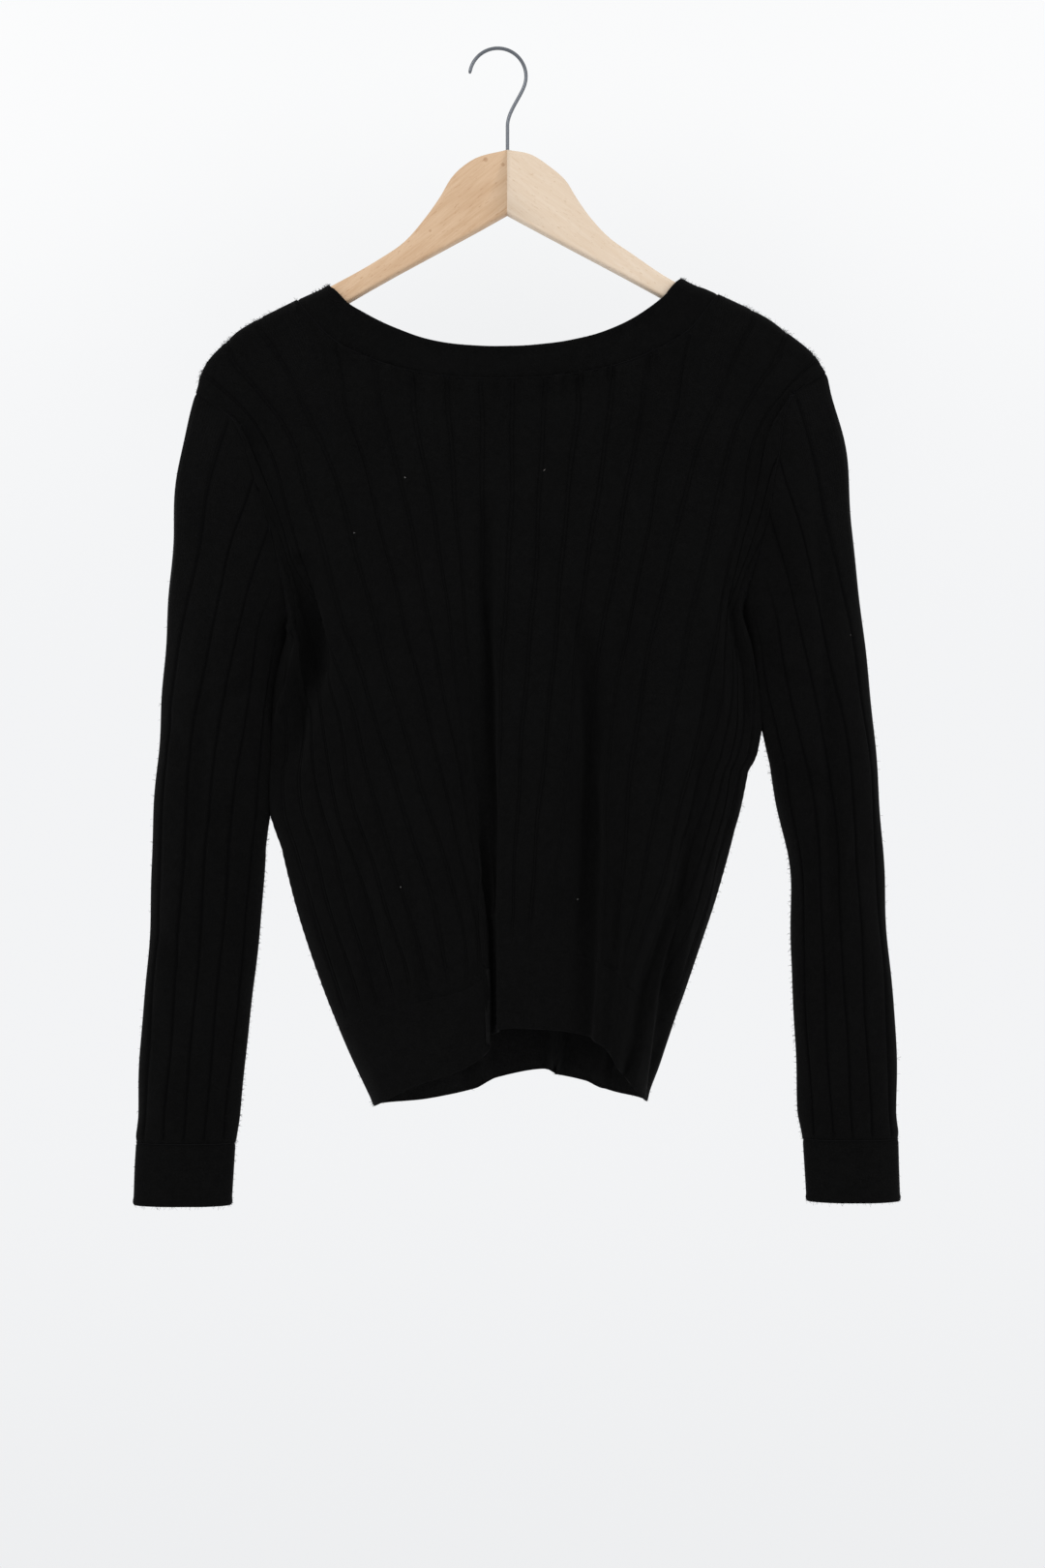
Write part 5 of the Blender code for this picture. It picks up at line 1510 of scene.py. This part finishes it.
# Painted light: the knit for the inside of the cloth, 2.4 times lighter, as if lit from below.
inner_knit_painted_light = knit_finish("knit_inner", wide=0.00120, tall=0.00105, relief=0.00022, shade=2.4)
thread = plain_finish("thread_black", (0.004, 0.004, 0.0042), Roughness=0.9, Specular_IOR_Level=0.05)
fuzz_thread = plain_finish("fuzz_black", (0.012, 0.012, 0.013), Roughness=0.95, Specular_IOR_Level=0.05)
lint = plain_finish("lint_white", (0.48, 0.47, 0.45), Roughness=0.9)
warm_wood = wood_finish(
    "wood_warm", WARM_WOOD, WARM_GRAIN, WARM_FLECK,
    tilt=math.radians(38.0), fleck_scale=1.4, shift=0.6, relief=0.00012, knots=WARM_KNOTS,
)
pale_wood = wood_finish(
    "wood_pale", PALE_WOOD, PALE_GRAIN, PALE_FLECK,
    tilt=math.radians(-36.0), fleck_scale=1.9, shift=2.4, relief=0.00010,
)
steel = steel_finish()


def joined(piece, node):
    """Joins a piece to the body, in place of the solid where one is given."""
    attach(piece, "root")
    if node:
        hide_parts(node)


front, front_shape, front_normals = make_panel(
    "front_panel_knit", FRONT, FRONT_CREASES, shift=0.0, finish=rib_knit
)
back, back_shape, back_normals = make_panel(
    "back_panel_knit", BACK, BACK_CREASES, shift=1.9, finish=rib_knit
)
# The hem band's inside gets the knit with painted light.
hem, hem_shape, hem_normals = make_hem_band(band_knit, inner_knit_painted_light)
neckband, neck_shape, neck_normals = make_neckband(band_knit)
left_sleeve, left_shape, left_normals = make_sleeve(
    "sleeve_left_knit", SLEEVE_LEFT, ARMHOLE_LEFT, shift=0.6, finish=rib_knit
)
right_sleeve, right_shape, right_normals = make_sleeve(
    "sleeve_right_knit", SLEEVE_RIGHT, ARMHOLE_RIGHT, shift=3.1, finish=rib_knit
)
left_cuff, left_cuff_shape, left_cuff_normals = make_cuff(
    "cuff_left_knit", SLEEVE_LEFT, ARMHOLE_LEFT, side=-1.0, shift=1.0, finish=band_knit
)
right_cuff, right_cuff_shape, right_cuff_normals = make_cuff(
    "cuff_right_knit", SLEEVE_RIGHT, ARMHOLE_RIGHT, side=1.0, shift=4.0, finish=band_knit
)

# Seams that run round: the neck, the armholes and the cuffs.
round_routes = [
    seam_thread(shape[0], normals[0], ROUND_SEAM_LIFT, True)
    for shape, normals in (
        (neck_shape, neck_normals),
        (left_shape, left_normals),
        (right_shape, right_normals),
        (left_cuff_shape, left_cuff_normals),
        (right_cuff_shape, right_cuff_normals),
    )
]
# Seams that run along: the sides of the body, the sleeves and the shoulders.
long_routes = [
    seam_thread(shape[:, column], normals[:, column], LONG_SEAM_LIFT, False)
    for shape, normals, column in (
        (front_shape, front_normals, 0),
        (front_shape, front_normals, -1),
        (left_shape, left_normals, 0),
        (right_shape, right_normals, 0),
    )
]
panel_lines = panel_columns()
for low, high in ((ARM_CORNER, NECK_CORNER), (LAST_LINE - NECK_CORNER, LAST_LINE - ARM_CORNER)):
    shoulder = (panel_lines >= low) & (panel_lines <= high)
    long_routes.append(
        seam_thread(front_shape[0, shoulder], front_normals[0, shoulder], LONG_SEAM_LIFT, False)
    )
round_seams = cord_through("linked_seams", round_routes, SEAM_THREAD, thread, closed=True)
long_seams = cord_through("long_seams", long_routes, SEAM_THREAD, thread)

rng = random.Random(11)
fibres = fuzz_on(rng, front_shape, front_normals, count=1300, reach=0.0022)
fibres += fuzz_on(rng, back_shape, back_normals, count=900, reach=0.0022)
fibres += fuzz_on(rng, front_shape, front_normals, count=900, reach=0.0026, rows=TOP_ROWS)
fibres += fuzz_on(rng, left_shape, left_normals, count=1700, reach=0.0024)
fibres += fuzz_on(rng, right_shape, right_normals, count=1700, reach=0.0024)
fibres += fuzz_on(rng, neck_shape, neck_normals, count=600, reach=0.0018, rows=LOWER_ROWS)
fibres += fuzz_on(rng, hem_shape, hem_normals, count=500, reach=0.0018, rows=LOWER_ROWS)
for shape, normals in ((left_cuff_shape, left_cuff_normals), (right_cuff_shape, right_cuff_normals)):
    fibres += fuzz_on(rng, shape, normals, count=160, reach=0.0016)
    down = np.zeros_like(normals)
    down[..., 2] = -1.0
    fibres += fuzz_on(rng, shape, down, count=90, reach=0.0022, rows=LAST_ROW)

specks = lint_specks(
    rng, ((front_shape, front_normals), (right_shape, right_normals), (left_shape, left_normals))
)
lint_bits = cord_through("lint_bits", specks, LINT_THREAD, lint)
fuzz = cord_through("cloth_fuzz", fibres, FUZZ_THREAD, fuzz_thread, round_steps=0)

arm_left = make_arm("wood_left", -1.0, LEFT_TOP, SHOULDER_LEFT, warm_wood)
arm_right = make_arm("wood_right", 1.0, RIGHT_TOP, SHOULDER_RIGHT, pale_wood)
hook = make_hook(steel)

joined(front, "front_panel")
joined(back, "back_panel")
joined(hem, "hem_band")
joined(neckband, "neckband")
joined(left_sleeve, "sleeve_left")
joined(right_sleeve, "sleeve_right")
joined(left_cuff, "cuff_left")
joined(right_cuff, "cuff_right")
joined(arm_left, "hanger_left")
joined(arm_right, "hanger_right")
joined(hook, "hanger_hook")
joined(round_seams, None)
joined(long_seams, None)
joined(fuzz, None)
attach(lint_bits, "root")

# ---------------------------------------------------------------- camera, lights and floor
FLOOR_HEIGHT = -1.35
FLOOR_RADIUS = 0.8
CAMERA_PLACE = (0.0176, -1.80, -0.523)
SENSOR_WIDTH = 36.0
LENS = 57.97
LIT_PLACE = (0.0, 0.0, -0.4)

# The room's colours: straight behind the sweater, a painted shadow high behind it, painted shade low down,
# and painted light above and beside it.
ROOM_PLAIN = (0.895, 0.902, 0.915, 1.0)
ROOM_PAINTED_SHADOW = (0.865, 0.872, 0.882, 1.0)
ROOM_PAINTED_SHADE_LOW = (0.848, 0.856, 0.868, 1.0)
ROOM_PAINTED_LIGHT_ABOVE = (0.955, 0.960, 0.966, 1.0)
ROOM_PAINTED_LIGHT_BESIDE = (0.968, 0.972, 0.978, 1.0)


def make_floor():
    """A plain pale floor, far below the sweater."""
    made = bmesh.new()
    bmesh.ops.create_circle(made, cap_ends=True, segments=96, radius=FLOOR_RADIUS)
    bmesh.ops.translate(made, verts=made.verts, vec=(0.0, 0.0, FLOOR_HEIGHT))
    mesh = bpy.data.meshes.new("studio_floor")
    made.to_mesh(mesh)
    made.free()
    floor = add_piece("studio_floor", mesh, plain_finish("floor_pale", (0.78, 0.78, 0.79), Roughness=0.9))


def add_light(name, place, size, power):
    """A square lamp that faces the sweater."""
    data = bpy.data.lights.new(name, "AREA")
    data.shape = "SQUARE"
    data.size = size
    data.energy = power
    light = bpy.data.objects.new(name, data)
    light.location = place
    light.rotation_euler = (Vector(LIT_PLACE) - Vector(place)).to_track_quat("-Z", "Y").to_euler()
    bpy.context.scene.collection.objects.link(light)


def make_world():
    """A near-white room: painted shadow makes it a little darker high behind the sweater, painted shade
    darker low down, and painted light bright above and beside it.
    """
    world = bpy.data.worlds.new("studio")
    world.use_nodes = True
    bpy.context.scene.world = world
    room = Nodes(world.node_tree, "BACKGROUND")
    heading = room.make("ShaderNodeTexCoord", {}, {}, output="Generated")
    aside = abs(room.make("ShaderNodeSeparateXYZ", {}, {0: heading}, output=0))
    rise = room.make("ShaderNodeSeparateXYZ", {}, {0: heading}, output=2)
    painted_light_beside = aside.above(0.05, 0.24) * rise.above(0.02, 0.30)
    painted_shadow_high = (1.0 - aside.above(0.0, 0.16)) * rise.above(0.05, 0.16)
    # Painted light: the room is brighter above.
    above = rise.above(0.15, 0.28)
    painted_shade_low = 1.0 - rise.above(-0.34, -0.10)
    shade = room.mixed(painted_shadow_high, ROOM_PLAIN, ROOM_PAINTED_SHADOW)
    shade = room.mixed(painted_shade_low, shade, ROOM_PAINTED_SHADE_LOW)
    shade = room.mixed(above, shade, ROOM_PAINTED_LIGHT_ABOVE)
    room.feed("Color", room.mixed(painted_light_beside, shade, ROOM_PAINTED_LIGHT_BESIDE))


make_floor()
make_world()
add_light("key", (-1.3, -1.9, 0.9), size=1.2, power=14.0)
add_light("fill", (1.5, -1.6, 0.1), size=1.4, power=6.0)
add_light("rim", (0.5, 1.8, 0.8), size=1.4, power=8.0)

camera_data = bpy.data.cameras.new("camera")
camera_data.sensor_width = SENSOR_WIDTH
camera_data.lens = LENS
camera = bpy.data.objects.new("camera", camera_data)
camera.location = CAMERA_PLACE
camera.rotation_euler = (math.radians(90.0), 0.0, 0.0)
bpy.context.scene.collection.objects.link(camera)
bpy.context.scene.camera = camera
bpy.context.scene.view_settings.view_transform = "Standard"
